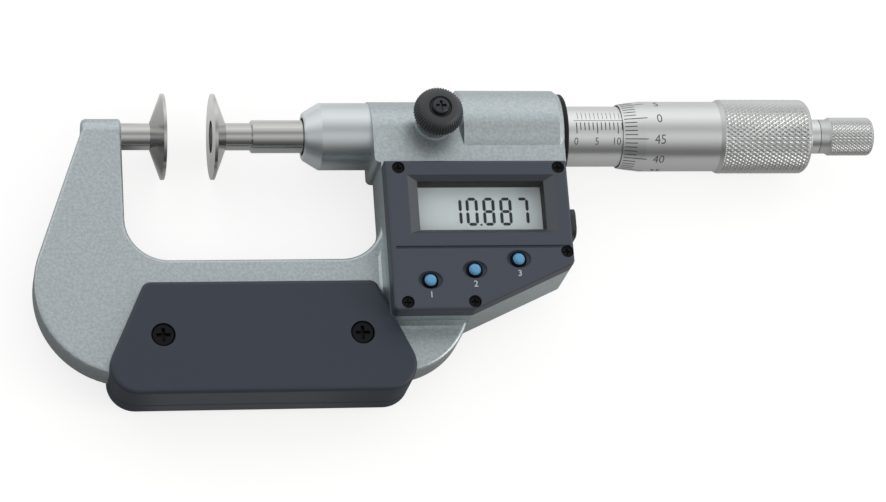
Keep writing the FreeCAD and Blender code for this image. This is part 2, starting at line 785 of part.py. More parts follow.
def face_teeth(body, name, base, tip, side):
    """Ring of saw teeth on a face across the axis, each a straight radial prism."""
    sketch = outline(body, name + "_profile", "XY_Plane", [
        (base, "-tooth_width / 2"),
        (base, "tooth_width / 2"),
        (tip, side + "tooth_width / 2"),
    ], "ratchet_screw_radius + 0.25")
    tooth = body.newObject("PartDesign::Pad", name + "_tooth")
    tooth.Profile = sketch
    bind(tooth, "Length", "ratchet_bore - ratchet_screw_radius - 0.6")
    doc.recompute()
    pattern = body.newObject("PartDesign::PolarPattern", name + "_ring")
    pattern.Originals = [tooth]
    pattern.Axis = (plane_of(body, "X_Axis"), [""])
    bind(pattern, "Occurrences", "tooth_count")
    body.Tip = pattern
    doc.recompute()


def ratchet_pieces():
    """Toothed collar on the thimble, sprung clutch inside the knob, knob and its screw."""
    collar_end = "grip_end - 0.1 + ratchet_collar_length"
    spigot_end = collar_end + " + ratchet_spigot"
    clutch_face = spigot_end + " + tooth_height + tooth_gap"
    clutch_end = clutch_face + " + clutch_thick"
    collar = turned("ratchet_collar", [
        ("grip_end - 0.1", "ratchet_screw_radius"),
        ("grip_end - 0.1", "ratchet_collar_radius"),
        (collar_end, "ratchet_collar_radius"),
        (collar_end, "ratchet_bore - 0.2"),
        (spigot_end, "ratchet_bore - 0.2"),
        (spigot_end, "ratchet_screw_radius"),
    ])
    face_teeth(collar, "collar_teeth", spigot_end, spigot_end + " + tooth_height", "-")
    clutch = turned("ratchet_clutch", [
        (clutch_face, "ratchet_screw_radius + 0.1"),
        (clutch_face, "ratchet_bore"),
        (clutch_end, "ratchet_bore"),
        (clutch_end, "ratchet_screw_radius + 0.1"),
    ])
    face_teeth(clutch, "clutch_teeth", clutch_face, clutch_face + " - tooth_height", "")
    turned("ratchet_knob", [
        (collar_end + " + ratchet_gap", "ratchet_bore"),
        (collar_end + " + ratchet_gap", "ratchet_collar_radius"),
        (collar_end + " + ratchet_neck", "ratchet_collar_radius"),
        (collar_end + " + ratchet_neck + 0.8", "ratchet_radius"),
        ("ratchet_end - 1.0", "ratchet_radius"),
        ("ratchet_end - 0.3", "ratchet_radius - 0.5"),
        ("ratchet_end", "ratchet_radius - 1.2"),
        ("ratchet_end", "ratchet_screw_head + 0.1"),
        ("ratchet_end - 2.4", "ratchet_screw_head + 0.1"),
        ("ratchet_end - 2.4", "ratchet_screw_radius + 0.1"),
        ("ratchet_end - ratchet_end_wall", "ratchet_screw_radius + 0.1"),
        ("ratchet_end - ratchet_end_wall", "ratchet_bore"),
    ])
    turned("ratchet_screw", [
        ("screw_tail_start + 1.2", "0"),
        ("screw_tail_start + 1.2", "ratchet_screw_radius"),
        ("ratchet_end - 2.3", "ratchet_screw_radius"),
        ("ratchet_end - 2.3", "ratchet_screw_head"),
        ("ratchet_end - 0.9", "ratchet_screw_head"),
        ("ratchet_end - 0.6", "ratchet_screw_head - 0.4"),
        ("ratchet_end - 0.6", "0"),
    ])
    helix = doc.addObject("Part::Helix", "spring_path")
    bind(helix, "Radius", "ratchet_bore - spring_wire - 0.15")
    bind(helix, "Pitch", "spring_pitch")
    bind(helix, "Height", "ratchet_end - ratchet_end_wall - (" + clutch_end + ") - 2 * spring_wire - 0.2")
    wire = doc.addObject("Part::RegularPolygon", "spring_wire_section")
    wire.Polygon = 6
    bind(wire, "Circumradius", "spring_wire")
    bind(wire, "Placement.Base.x", "ratchet_bore - spring_wire - 0.15")
    wire.Placement.Rotation = FreeCAD.Rotation(FreeCAD.Vector(1, 0, 0), 90)
    spring = doc.addObject("Part::Sweep", "ratchet_spring")
    spring.Sections = [wire]
    spring.Spine = (helix, ["Edge1"])
    spring.Solid = True
    spring.Frenet = True
    spring.Placement.Rotation = FreeCAD.Rotation(FreeCAD.Vector(0, 1, 0), 90)
    bind(spring, "Placement.Base.x", clutch_end + " + spring_wire + 0.1")
    node(spring, "ratchet_spring")


def clamp_pieces():
    """Knob with its screw, threaded bush and brass plug that bears on the spindle."""
    ring_low = BOSS_TOP + " - clamp_bush_length"
    bush = turned_upright("clamp_bush", [
        ("clamp_screw_radius + running_gap", ring_low),
        ("clamp_bush_radius", ring_low),
        ("clamp_bush_radius", BOSS_TOP),
        ("clamp_screw_radius + running_gap", BOSS_TOP),
    ], "clamp_place")
    node(bush, "clamp_bush")
    plug_low = "spindle_radius + clamp_plug_lift"
    plug = turned_upright("clamp_plug", [
        ("0", plug_low),
        ("clamp_hole - running_gap", plug_low),
        ("clamp_hole - running_gap", plug_low + " + clamp_plug_length"),
        ("0", plug_low + " + clamp_plug_length"),
    ], "clamp_place")
    node(plug, "clamp_plug")
    knob = turned_upright("clamp_knob", [
        ("clamp_screw_radius", BOSS_TOP + " + knob_neck_gap"),
        ("knob_neck_radius", BOSS_TOP + " + knob_neck_gap"),
        ("knob_neck_radius", "knob_bottom"),
        ("knob_radius - 0.6", "knob_bottom"),
        ("knob_radius", "knob_bottom + 0.5"),
        ("knob_radius", "knob_bottom + 1.1"),
        ("knob_radius - 0.7", "knob_top - 1.5"),
        ("knob_radius - 2.0", "knob_top - 0.4"),
        ("knob_radius - 2.9", "knob_top"),
        ("knob_dish_radius", "knob_top"),
        ("knob_dish_radius - 0.2", "knob_top - knob_dish_depth"),
        ("clamp_screw_radius", "knob_top - knob_dish_depth"),
    ], "clamp_place")
    node(knob, "clamp_knob")
    seat = "knob_top - knob_dish_depth"
    screw = turned_upright("clamp_screw", [
        ("0", plug_low + " + clamp_plug_length + 0.05"),
        ("clamp_screw_radius", plug_low + " + clamp_plug_length + 0.05"),
        ("clamp_screw_radius", seat),
        ("knob_screw_head", seat),
        ("knob_screw_head", seat + " + knob_screw_height - 0.5"),
        ("knob_screw_head - 0.2", seat + " + knob_screw_height - 0.15"),
        ("knob_screw_head - 0.5", seat + " + knob_screw_height"),
        ("0", seat + " + knob_screw_height"),
    ], "clamp_place")
    recess_depth = "knob_screw_height * 0.6"
    cross_recess(screw, "clamp_screw_recess", "knob_screw_recess",
                 seat + " + knob_screw_height - " + recess_depth, recess_depth + " + 1")
    node(screw, "clamp_screw")


def display_pieces():
    """Cover with its window, lens, display, board, switches, buttons and cover screws."""
    cover = new_body("display_cover")
    slab(cover, "cover_block", POD_OUTLINE, "pod_front", "cover_thick")
    round_edges(cover, "cover_edge", top_edges(cover.Tip.Shape), "cover_edge_round")
    slab(cover, "cover_hollow", POD_CAVITY, "pod_front", "cover_thick - cover_plate", True)
    opening = ["window_left + window_bevel", "window_right - window_bevel",
               "-window_top - window_bevel_depth", "-window_bottom + window_bevel_depth"]
    skirt = [(opening[0] + " - window_skirt", opening[2] + " + window_skirt"),
             (opening[1] + " + window_skirt", opening[2] + " + window_skirt"),
             (opening[1] + " + window_skirt", opening[3] + " - window_skirt"),
             (opening[0] + " - window_skirt", opening[3] + " - window_skirt")]
    slab(cover, "window_frame", skirt, "lcd_top_level + 0.1", COVER_TOP + " - lcd_top_level - 1.0")
    window = [(opening[0], opening[2]), (opening[1], opening[2]),
              (opening[1], opening[3]), (opening[0], opening[3])]
    slab(cover, "window_opening", window, "lcd_top_level", COVER_TOP, True)
    bevel_low = outline(cover, "window_bevel_low", "XY_Plane", window,
                        COVER_TOP + " - window_bevel_depth")
    bevel_high = outline(cover, "window_bevel_high", "XY_Plane", [
        ("window_left - 0.2", "-window_top + 0.1"), ("window_right + 0.2", "-window_top + 0.1"),
        ("window_right + 0.2", "-window_bottom - 0.1"), ("window_left - 0.2", "-window_bottom - 0.1"),
    ], COVER_TOP + " + 0.1")
    bevel = cover.newObject("PartDesign::SubtractiveLoft", "window_bevel")
    bevel.Profile = bevel_low
    bevel.Sections = [bevel_high]
    bevel.Ruled = True
    doc.recompute()
    groove = [("pod_left + 1.3", "-groove_place - groove_width / 2"),
              ("pod_right - 0.9", "-groove_place - groove_width / 2"),
              ("pod_right - 0.9", "-groove_place + groove_width / 2"),
              ("pod_left + 1.3", "-groove_place + groove_width / 2")]
    slab(cover, "cover_groove", groove, COVER_TOP + " - groove_depth", "groove_depth + 1", True)
    for i, (x, y) in enumerate(BUTTONS):
        dish = cover.newObject("PartDesign::SubtractiveEllipsoid", "button_dish_%d" % i)
        bind(dish, "Radius1", "button_dish_depth")
        bind(dish, "Radius2", "button_dish_long")
        bind(dish, "Radius3", "button_dish_short")
        bind(dish, "Placement.Base.x", x)
        bind(dish, "Placement.Base.y", y)
        bind(dish, "Placement.Base.z", COVER_TOP)
    doc.recompute()
    holes(cover, "button_holes", BUTTONS, "button_radius + button_clearance", "pod_front", "cover_thick + 1")
    holes(cover, "screw_heads", COVER_SCREWS, "cover_screw_radius + 0.08",
          COVER_TOP + " - cover_screw_sink - cover_screw_head", "cover_screw_head + 1")
    holes(cover, "screw_shanks", COVER_SCREWS, "cover_screw_shank", "pod_front - 1", "cover_thick + 2")
    node(cover, "display_cover")

    lens = new_body("window_lens")
    slab(lens, "lens", window, COVER_TOP + " - window_bevel_depth - lens_thick", "lens_thick")
    node(lens, "window_lens")
    lcd = new_body("lcd_panel")
    slab(lcd, "lcd", skirt, "lcd_top_level - lcd_thick", "lcd_thick")
    node(lcd, "lcd_panel")
    strips = []
    for name, low in (("strip_top", opening[2] + " - strip_width"), ("strip_bottom", opening[3])):
        strip = new_body(name)
        block(strip, name + "_bar", opening[0], low, "board_level + board_thick",
              "window_right - window_left - 2 * window_bevel", "strip_width",
              "lcd_top_level - lcd_thick - board_level - board_thick")
        strips.append(strip)
    group("lcd_contact_strips", strips)

    board = new_body("circuit_board")
    inset = []
    for x, y in POD_CAVITY:
        side = " + board_margin" if x.startswith("pod_left") else " - board_margin"
        height = " + board_margin" if y.startswith("-pod_bottom") or y.endswith("0.6") else " - board_margin"
        if y.startswith("-pod_slant_end + 5.4"):
            height = " + board_margin"
        inset.append((x + side, y + height))
    slab(board, "board", inset, "board_level", "board_thick")
    node(board, "circuit_board")

    switches = []
    for i, (x, y) in enumerate(BUTTONS):
        switch = new_body("switch_%d" % i)
        block(switch, "switch_box_%d" % i, x + " - switch_side / 2", y + " - switch_side / 2",
              "board_level + board_thick", "switch_side", "switch_side",
              "lcd_top_level - board_level - board_thick - 0.3")
        switches.append(switch)
    group("button_switches", switches)

    stem_low = "lcd_top_level - 0.3 + button_travel + 0.05"
    flange_top = COVER_TOP + " - cover_plate - 0.1"
    for name, (x, y) in zip(("left", "middle", "right"), BUTTONS):
        button = turned_upright("button_" + name, [
            ("0", stem_low),
            ("button_radius - 0.3", stem_low),
            ("button_radius - 0.3", flange_top + " - button_flange_thick"),
            ("button_flange", flange_top + " - button_flange_thick"),
            ("button_flange", flange_top),
            ("button_radius", flange_top),
            ("button_radius", COVER_TOP + " + button_rise - 0.6"),
            ("button_radius - 0.35", COVER_TOP + " + button_rise - 0.15"),
            ("button_radius - 0.8", COVER_TOP + " + button_rise"),
            ("0", COVER_TOP + " + button_rise"),
        ], x, y)
        node(button, "button_" + name)

    screw_top = COVER_TOP + " - cover_screw_sink"
    screws = [turned_upright("cover_screw_%d" % i, [
        ("0", screw_top + " - cover_screw_length"),
        ("cover_screw_shank", screw_top + " - cover_screw_length"),
        ("cover_screw_shank", screw_top + " - cover_screw_head"),
        ("cover_screw_radius", screw_top + " - cover_screw_head"),
        ("cover_screw_radius", screw_top + " - 0.15"),
        ("cover_screw_radius - 0.15", screw_top),
        ("0", screw_top),
    ], x, y) for i, (x, y) in enumerate(COVER_SCREWS)]
    for i, screw in enumerate(screws):
        cross_recess(screw, "cover_recess_%d" % i, "cover_screw_recess",
                     screw_top + " - cover_screw_recess_depth", "cover_screw_recess_depth + 1")
    group("cover_screws", screws)


def battery_pieces():
    """Button cell in its ring behind a coin-slot cap, spring contact, and data port cover."""
    cell_low = BACK + " + battery_cap_thick + 0.1"
    cell_high = cell_low + " + battery_height"
    place = ("battery_x", "-battery_y")
    cell = turned_upright("battery_cell", [
        ("0", cell_low),
        ("battery_radius - 0.4", cell_low),
        ("battery_radius", cell_low + " + 0.5"),
        ("battery_radius", cell_high),
        ("0", cell_high),
    ], *place)
    node(cell, "battery_cell")
    holder = turned_upright("battery_holder", [
        ("battery_radius + 0.1", BACK + " + pod_floor"),
        ("battery_radius + 0.1 + battery_ring_wall", BACK + " + pod_floor"),
        ("battery_radius + 0.1 + battery_ring_wall", "board_level"),
        ("battery_radius + 0.1", "board_level"),
    ], *place)
    node(holder, "battery_holder")
    contact = turned_upright("battery_contact", [
        ("0", cell_high + " + 0.1"),
        ("battery_radius - 2", cell_high + " + 0.1"),
        ("battery_radius - 2", "board_level"),
        ("0", "board_level"),
    ], *place)
    node(contact, "battery_contact")
    cap = turned_upright("battery_cap", [
        ("0", BACK),
        ("battery_cap_radius - 0.4", BACK),
        ("battery_cap_radius - 0.1", BACK + " + 0.3"),
        ("battery_cap_radius - 0.1", BACK + " + battery_cap_thick"),
        ("0", BACK + " + battery_cap_thick"),
    ], *place)
    block(cap, "coin_slot", "-battery_cap_radius + 1.2", "-coin_slot_width / 2", BACK + " - 1",
          "2 * battery_cap_radius - 2.4", "coin_slot_width", "coin_slot_depth + 1", True)
    node(cap, "battery_cap")

    port = new_body("data_port_cover")
    sketch = outline(port, "port_outline", "YZ_Plane", [
        ("-port_bottom", "port_low"), ("-port_top", "port_low"),
        ("-port_top", "port_high"), ("-port_bottom", "port_high"),
    ], "pod_right")
    extrude(port, "port_plate", sketch, "port_thick")
    sides = ["Edge%d" % number for number, edge in enumerate(port.Tip.Shape.Edges, 1)
             if abs(edge.Vertexes[0].Point.x - edge.Vertexes[-1].Point.x) > TINY]
    round_edges(port, "port_corners", sides, "port_round")
    node(port, "data_port_cover")


def grip_plate(label, low, high, casting, outer_edges, seam_edges):
    """One moulded half of the grip, cut to fit round the frame."""
    blank = new_body(label + "_blank")
    slab(blank, label + "_slab", [
        ("-plate_left_top", "-plate_top", "plate_top_round"),
        ("-plate_left_bottom", "-plate_bottom", "plate_bottom_round"),
        ("plate_right_bottom", "-plate_bottom", "plate_bottom_round"),
        ("plate_right_top", "-plate_top", "plate_top_round"),
    ], low, high + " - (" + low + ")")
    round_edges(blank, label + "_edge", outer_edges(blank.Tip.Shape), "plate_edge_round")
    round_edges(blank, label + "_seam", seam_edges(blank.Tip.Shape), "plate_seam_round")
    top = label.startswith("front")
    head_level = PLATE_FACE + " - plate_screw_sink - plate_screw_height"
    if top:
        holes(blank, label + "_heads", PLATE_SCREWS, "plate_screw_head + 0.1", head_level,
              "plate_screw_height + 2")
    else:
        holes(blank, label + "_heads", PLATE_SCREWS, "plate_screw_head + 0.1",
              "-(" + PLATE_FACE + ") - 1", "plate_screw_height + plate_screw_sink + 1")
    holes(blank, label + "_shanks", PLATE_SCREWS, "plate_screw_shank",
          "-(" + PLATE_FACE + ") - 1", "frame_thick + 2 * plate_wall + 2")
    fitted = doc.addObject("Part::Cut", label)
    fitted.Base = blank
    fitted.Tool = casting
    doc.recompute()
    return node(fitted, label)


def grip_screws(label, side):
    """Two screws that hold one grip plate; side is + for the front and - for the back."""
    face = side + "(" + PLATE_FACE + " - plate_screw_sink)"
    head = side + "(" + PLATE_FACE + " - plate_screw_sink - plate_screw_height)"
    rim = side + "(" + PLATE_FACE + " - plate_screw_sink - 0.3)"
    end = side + "(" + PLATE_FACE + " - plate_screw_sink - plate_screw_height - plate_screw_length)"
    screws = [turned_upright(label + "_%d" % i, [
        ("0", end),
        ("plate_screw_shank", end),
        ("plate_screw_shank", head),
        ("plate_screw_head", head),
        ("plate_screw_head", rim),
        ("plate_screw_head - 0.3", face),
        ("0", face),
    ], x, y) for i, (x, y) in enumerate(PLATE_SCREWS)]
    floor = PLATE_FACE + " - plate_screw_sink - plate_screw_recess_depth"
    start = floor if side == "" else "-(" + PLATE_FACE + ") - 1"
    depth = "plate_screw_recess_depth + plate_screw_sink + 1"
    for i, screw in enumerate(screws):
        cross_recess(screw, label + "_recess_%d" % i, "plate_screw_recess", start, depth)
    group(label, screws)


casting = frame_casting()
measuring_pieces()
encoder_pieces()
sleeve_pieces()
thimble_pieces()
ratchet_pieces()
clamp_pieces()
display_pieces()
battery_pieces()
grip_plate("front_grip_plate", "-plate_seam", PLATE_FACE, casting, top_edges, bottom_edges)
grip_plate("rear_grip_plate", "-(" + PLATE_FACE + ")", "-plate_seam", casting, bottom_edges, top_edges)
grip_screws("front_grip_screws", "")
grip_screws("rear_grip_screws", "-")
doc.recompute()

for thing in doc.Objects:
    if "Invalid" in thing.State or "Error" in thing.State:
        raise RuntimeError("%s failed: %s" % (thing.Label, thing.State))
for thing in nodes:
    if thing.Shape.isNull() or not thing.Shape.isValid():
        raise RuntimeError(thing.Label + " has no valid shape")
os.makedirs("parts", exist_ok=True)
for thing in nodes:
    thing.Shape.exportStep(os.path.join("parts", thing.Label + ".step"))
print(len(nodes), "nodes,", sum(len(thing.Shape.Solids) for thing in nodes), "solids")
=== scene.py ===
# %% [markdown]
# # Dressing a digital disc micrometer
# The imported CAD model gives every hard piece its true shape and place, and the bodies that
# carry the pieces when a joint moves. This lesson adds what the eye looks for and the solids
# leave out: cast and plated finishes, knurled grips, engraved scales, the figures of the
# display, and a camera and light that match a product photograph. Lengths are named in
# millimetres and turned into metres where a mesh is made.

# %% Load the frame
import bmesh
import bpy
import numpy as np
from mathutils import Matrix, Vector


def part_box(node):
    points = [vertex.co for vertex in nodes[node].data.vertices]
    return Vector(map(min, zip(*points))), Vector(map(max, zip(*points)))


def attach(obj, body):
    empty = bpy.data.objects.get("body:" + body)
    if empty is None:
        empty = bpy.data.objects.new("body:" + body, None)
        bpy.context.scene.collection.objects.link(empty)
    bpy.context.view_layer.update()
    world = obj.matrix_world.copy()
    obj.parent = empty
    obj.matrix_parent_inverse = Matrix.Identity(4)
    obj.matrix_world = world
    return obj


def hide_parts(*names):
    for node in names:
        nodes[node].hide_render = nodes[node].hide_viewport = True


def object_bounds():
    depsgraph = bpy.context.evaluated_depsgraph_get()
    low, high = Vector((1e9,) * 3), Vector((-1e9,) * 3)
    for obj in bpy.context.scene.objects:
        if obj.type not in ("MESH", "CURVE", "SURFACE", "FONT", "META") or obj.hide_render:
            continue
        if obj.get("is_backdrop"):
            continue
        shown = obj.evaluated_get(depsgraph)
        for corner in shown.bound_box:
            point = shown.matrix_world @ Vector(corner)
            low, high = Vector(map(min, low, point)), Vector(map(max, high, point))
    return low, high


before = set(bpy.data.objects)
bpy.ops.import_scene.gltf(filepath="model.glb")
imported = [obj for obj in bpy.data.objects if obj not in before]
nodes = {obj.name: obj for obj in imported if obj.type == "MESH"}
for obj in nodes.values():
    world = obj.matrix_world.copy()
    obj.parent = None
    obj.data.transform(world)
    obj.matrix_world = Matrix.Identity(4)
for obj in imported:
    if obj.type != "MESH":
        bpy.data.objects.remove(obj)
cad_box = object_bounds()
MM = 0.001
TURN = 2 * np.pi

# %% [markdown]
# ## From arrays to meshes
# Every new piece is a surface worked out with numpy. A grid of points with one row per step
# along a profile and one column per step around is the plainest way to hold such a surface,
# because its faces follow from the grid alone. A loft from curves would look the same, but
# its points could not be moved one by one, which the knurls need.

# %% Mesh helpers


def make_mesh(name, points_mm, faces, smooth=True):
    """Object at the origin whose vertices are the points, given in millimetres.

    faces is an array with one row per face, or a list where their lengths differ.
    """
    if isinstance(faces, np.ndarray):
        faces = faces.tolist()
    mesh = bpy.data.meshes.new(name)
    mesh.from_pydata((np.asarray(points_mm) * MM).tolist(), [], faces)
    mesh.polygons.foreach_set("use_smooth", [smooth] * len(mesh.polygons))
    mesh.update()
    piece = bpy.data.objects.new(name, mesh)
    bpy.context.scene.collection.objects.link(piece)
    return piece


def grid_faces(rows, columns, closed_rows=False, closed_columns=False):
    """Quads of a grid: corner (i, j) joins (i+1, j), (i+1, j+1) and (i, j+1)."""
    i = np.arange(rows if closed_rows else rows - 1)
    j = np.arange(columns if closed_columns else columns - 1)
    i, j = (a.ravel() for a in np.meshgrid(i, j, indexing="ij"))
    down, right = (i + 1) % rows, (j + 1) % columns
    return np.stack([i * columns + j, down * columns + j, down * columns + right,
                     i * columns + right], axis=1)


def join_shapes(shapes):
    """Points and faces of one shape made of several (points, faces) pairs."""
    points, faces, count = [], [], 0
    for shape_points, shape_faces in shapes:
        points.append(shape_points)
        faces.extend([tuple(int(corner) + count for corner in face) for face in shape_faces])
        count += len(shape_points)
    return np.concatenate(points), faces


def along_axis(x, radius, angle):
    """Point on the measuring axis: x along it, angle from +Z towards +Y."""
    x, radius, angle = np.broadcast_arrays(x, radius, angle)
    return np.stack([x, radius * np.sin(angle), radius * np.cos(angle)], axis=-1)


def dress(piece, material, body):
    """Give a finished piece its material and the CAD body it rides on."""
    piece.data.materials.clear()
    piece.data.materials.append(material)
    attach(piece, body)
    return piece


def span(node):
    """First and last x, and the outer radius, of a turned node, in millimetres."""
    low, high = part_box(node)
    return low[0] / MM, high[0] / MM, (high[1] - low[1]) / 2 / MM


print("a grid of 3 by 4 points has", len(grid_faces(3, 4)), "faces")

# %% [markdown]
# ## Colours
# A colour picked from a picture is display-coded, while a shader wants linear light. The
# coding curve is undone once, in a helper, so that every finish can be named by the numbers
# that a picture editor shows.

# %% Colour and material helpers


def linear(red, green, blue):
    """Linear colour of a display colour from 0 to 255: ((c + 0.055) / 1.055) ** 2.4."""
    coded = np.array([red, green, blue]) / 255.0
    light = np.where(coded <= 0.04045, coded / 12.92, ((coded + 0.055) / 1.055) ** 2.4)
    return (*light.tolist(), 1.0)


def finish(name, color, roughness, metallic=0.0, **sockets):
    """Principled material with plain numbers on its sockets."""
    material = bpy.data.materials.new(name)
    material.use_nodes = True
    shader = material.node_tree.nodes["Principled BSDF"]
    shader.inputs["Base Color"].default_value = color
    shader.inputs["Roughness"].default_value = roughness
    shader.inputs["Metallic"].default_value = metallic
    for socket, value in sockets.items():
        shader.inputs[socket.replace("_", " ")].default_value = value
    return material


def texture_chain(material, kind, stretch=(1, 1, 1), **inputs):
    """A texture node read in Object coordinates, so that it stays fixed to the piece."""
    tree = material.node_tree
    place = tree.nodes.new("ShaderNodeTexCoord")
    mapping = tree.nodes.new("ShaderNodeMapping")
    mapping.inputs["Scale"].default_value = stretch
    texture = tree.nodes.new(kind)
    for socket, value in inputs.items():
        texture.inputs[socket].default_value = value
    tree.links.new(place.outputs["Object"], mapping.inputs["Vector"])
    tree.links.new(mapping.outputs["Vector"], texture.inputs["Vector"])
    return texture


def add_bump(material, height, strength, depth_mm):
    """Raise the surface by a texture's height output."""
    tree = material.node_tree
    shader = tree.nodes["Principled BSDF"]
    bump = tree.nodes.new("ShaderNodeBump")
    bump.inputs["Strength"].default_value = strength
    bump.inputs["Distance"].default_value = depth_mm * MM
    tree.links.new(height, bump.inputs["Height"])
    tree.links.new(bump.outputs["Normal"], shader.inputs["Normal"])


def grain(material, scale, strength, depth_mm):
    """Fine texture of a moulded or blackened surface: a noise raises it slightly."""
    noise = texture_chain(material, "ShaderNodeTexNoise", Scale=scale, Detail=2.0)
    add_bump(material, noise.outputs["Fac"], strength, depth_mm)


def turned(material, strength, low, high):
    """Tool marks of a lathe: noise squeezed along the axis into rings, which also vary the
    roughness between low and high."""
    rings = texture_chain(material, "ShaderNodeTexNoise", stretch=(9.0, 0.5, 0.5), Scale=900.0,
                          Detail=2.0)
    add_bump(material, rings.outputs["Fac"], strength, 0.01)
    tree = material.node_tree
    spread = tree.nodes.new("ShaderNodeMapRange")
    for socket, value in zip(spread.inputs[1:5], (0.3, 0.7, low, high)):
        socket.default_value = value
    tree.links.new(rings.outputs["Fac"], spread.inputs[0])
    tree.links.new(spread.outputs[0], tree.nodes["Principled BSDF"].inputs["Roughness"])


def tint(material, factor, dark, light, low=0.3, high=0.7):
    """Base colour that runs from dark to light as the factor runs from low to high."""
    tree = material.node_tree
    ramp = tree.nodes.new("ShaderNodeValToRGB")
    ramp.color_ramp.elements[0].position = low
    ramp.color_ramp.elements[0].color = dark
    ramp.color_ramp.elements[1].position = high
    ramp.color_ramp.elements[1].color = light
    tree.links.new(factor, ramp.inputs["Fac"])
    tree.links.new(ramp.outputs["Color"], tree.nodes["Principled BSDF"].inputs["Base Color"])


print("half grey on a display is", round(linear(128, 128, 128)[0], 3), "of white as light")

# %% [markdown]
# ## Enamel
# The casting wears hammertone enamel: a grey metallic paint that gathers in soft cells. A
# photograph of the paint could be laid over it, but it would stretch on the rounded edges.
# One noise does both jobs here, a small change of tone from cell to cell and a bump that
# breaks up the highlights, and a high metallic value makes the paint mirror the room.

# %% Enamel
CELL_SCALE = 1500.0
enamel = finish("hammertone_enamel", linear(178, 187, 190), 0.4, 0.9)
cells = texture_chain(enamel, "ShaderNodeTexNoise", Scale=CELL_SCALE, Detail=3.0,
                      Roughness=0.6)
tint(enamel, cells.outputs["Fac"], linear(171, 180, 183), linear(188, 197, 200), 0.36, 0.64)
add_bump(enamel, cells.outputs["Fac"], 0.35, 0.12)
print("enamel cells are about", round(1 / CELL_SCALE / MM, 1), "mm wide")

# %% [markdown]
# ## Metals
# The plated pieces are satin chrome, a metal whose fine grain blurs what it mirrors. The
# spindle, the anvil and the discs are ground steel: smoother, so the room shows in them as
# bands, with the rings that a grinding wheel leaves. A picture of rings could be wrapped
# round them, but a noise squeezed along the axis gives the same rings at any distance.

# %% Metals
chrome = finish("satin_chrome", linear(214, 216, 216), 0.32, 1.0)
# The sleeve's chrome is a lighter copy of the satin chrome: a painted highlight.
sleeve_highlight_chrome = finish("sleeve_highlight_chrome", linear(220, 222, 222), 0.32, 1.0)
# The nose's chrome is a darker, bluer copy of the satin chrome: painted shade.
nose_shade_chrome = finish("nose_shade_chrome", linear(204, 210, 212), 0.32, 1.0)
knurl_chrome = finish("knurl_chrome", linear(196, 198, 198), 0.38, 1.0)
for plated in (chrome, sleeve_highlight_chrome, nose_shade_chrome, knurl_chrome):
    grain(plated, 2600.0, 0.1, 0.02)

steel = finish("ground_steel", linear(188, 188, 186), 0.15, 1.0)
turned(steel, 0.12, 0.12, 0.2)
machined = finish("machined_steel", linear(150, 151, 152), 0.32, 1.0)
turned(machined, 0.3, 0.26, 0.4)
brass = finish("brass", linear(190, 158, 96), 0.3, 1.0)
turned(brass, 0.3, 0.25, 0.36)
blued_steel = finish("blued_steel", linear(70, 71, 74), 0.28, 1.0)
grain(blued_steel, 3000.0, 0.15, 0.02)
black_oxide = finish("black_oxide", linear(14, 15, 18), 0.45, 0.05, Specular_IOR_Level=0.15)
grain(black_oxide, 3000.0, 0.25, 0.03)
print("machined steel mirrors", round(linear(150, 151, 152)[0], 2), "of the light")

# %% [markdown]
# ## Plastics, display and inks
# The plastics differ only in colour, gloss and the depth of their moulded grain, so one noise
# of its own depth serves each. The display's film is a pale grey that shimmers a little, and
# the window over it is nearly clear. Glass that bends light would be truer, but a thin flat
# window bends nothing that the eye can see, and plain see-through plastic renders without
# noise. The inks are matt and plain.

# %% Plastics, display and inks
cover_plastic = finish("slate_plastic", linear(60, 66, 78), 0.5)
plate_plastic = finish("plate_plastic", linear(43, 52, 65), 0.5)
black_plastic = finish("black_plastic", linear(40, 42, 45), 0.42)
ring_black = finish("ring_black", linear(24, 25, 27), 0.45, Specular_IOR_Level=0.2)
knob_plastic = finish("knob_plastic", linear(56, 58, 61), 0.48)
for moulded in (cover_plastic, plate_plastic, black_plastic, ring_black, knob_plastic):
    grain(moulded, 4600.0, 0.2, 0.03)
# The bevel's plastic is polished, and lighter than the cover's as painted light.
polished_lit_plastic = finish("polished_lit_slate", linear(69, 74, 80), 0.2)
grain(polished_lit_plastic, 4600.0, 0.06, 0.02)
blue_plastic = finish("blue_plastic", linear(94, 159, 202), 0.35)
grain(blue_plastic, 3500.0, 0.12, 0.02)

# This black is the real colour of the wiper and the contact strips, and is also painted shade
# on the window's walls and on the buttons' lower faces.
black_and_painted_shade = finish("black_and_painted_shade", linear(36, 36, 37), 0.85)
grain(black_and_painted_shade, 5200.0, 0.4, 0.05)
display_film = finish("display_film", linear(240, 251, 255), 0.5)
shimmer = texture_chain(display_film, "ShaderNodeTexNoise", Scale=5500.0, Detail=1.0)
tint(display_film, shimmer.outputs["Fac"], linear(231, 245, 251), linear(244, 254, 255))
board = finish("circuit_board", linear(40, 110, 62), 0.5)
grain(board, 2400.0, 0.2, 0.03)
ink = finish("engraving_ink", linear(50, 51, 53), 0.6)
number_ink = finish("number_ink", linear(74, 75, 77), 0.6)
# The sleeve's index line and upper marks take a lighter ink: a painted highlight.
sleeve_highlight_ink = finish("sleeve_highlight_ink", linear(124, 126, 128), 0.6)
segment_ink = finish("segment_ink", linear(38, 42, 46), 0.6)
label_ink = finish("label_ink", linear(190, 194, 200), 0.6)
WINDOW_ALPHA = 0.06
clear = finish("clear_window", (0.1, 0.11, 0.11, 1.0), 0.05, Alpha=WINDOW_ALPHA)
print("the window lets", 1 - WINDOW_ALPHA, "of the light through")

# %% [markdown]
# ## Painting the CAD pieces
# A CAD piece keeps its mesh and only takes a material. A table from material to pieces reads
# like a paint plan, and shows at a glance which pieces share a finish.

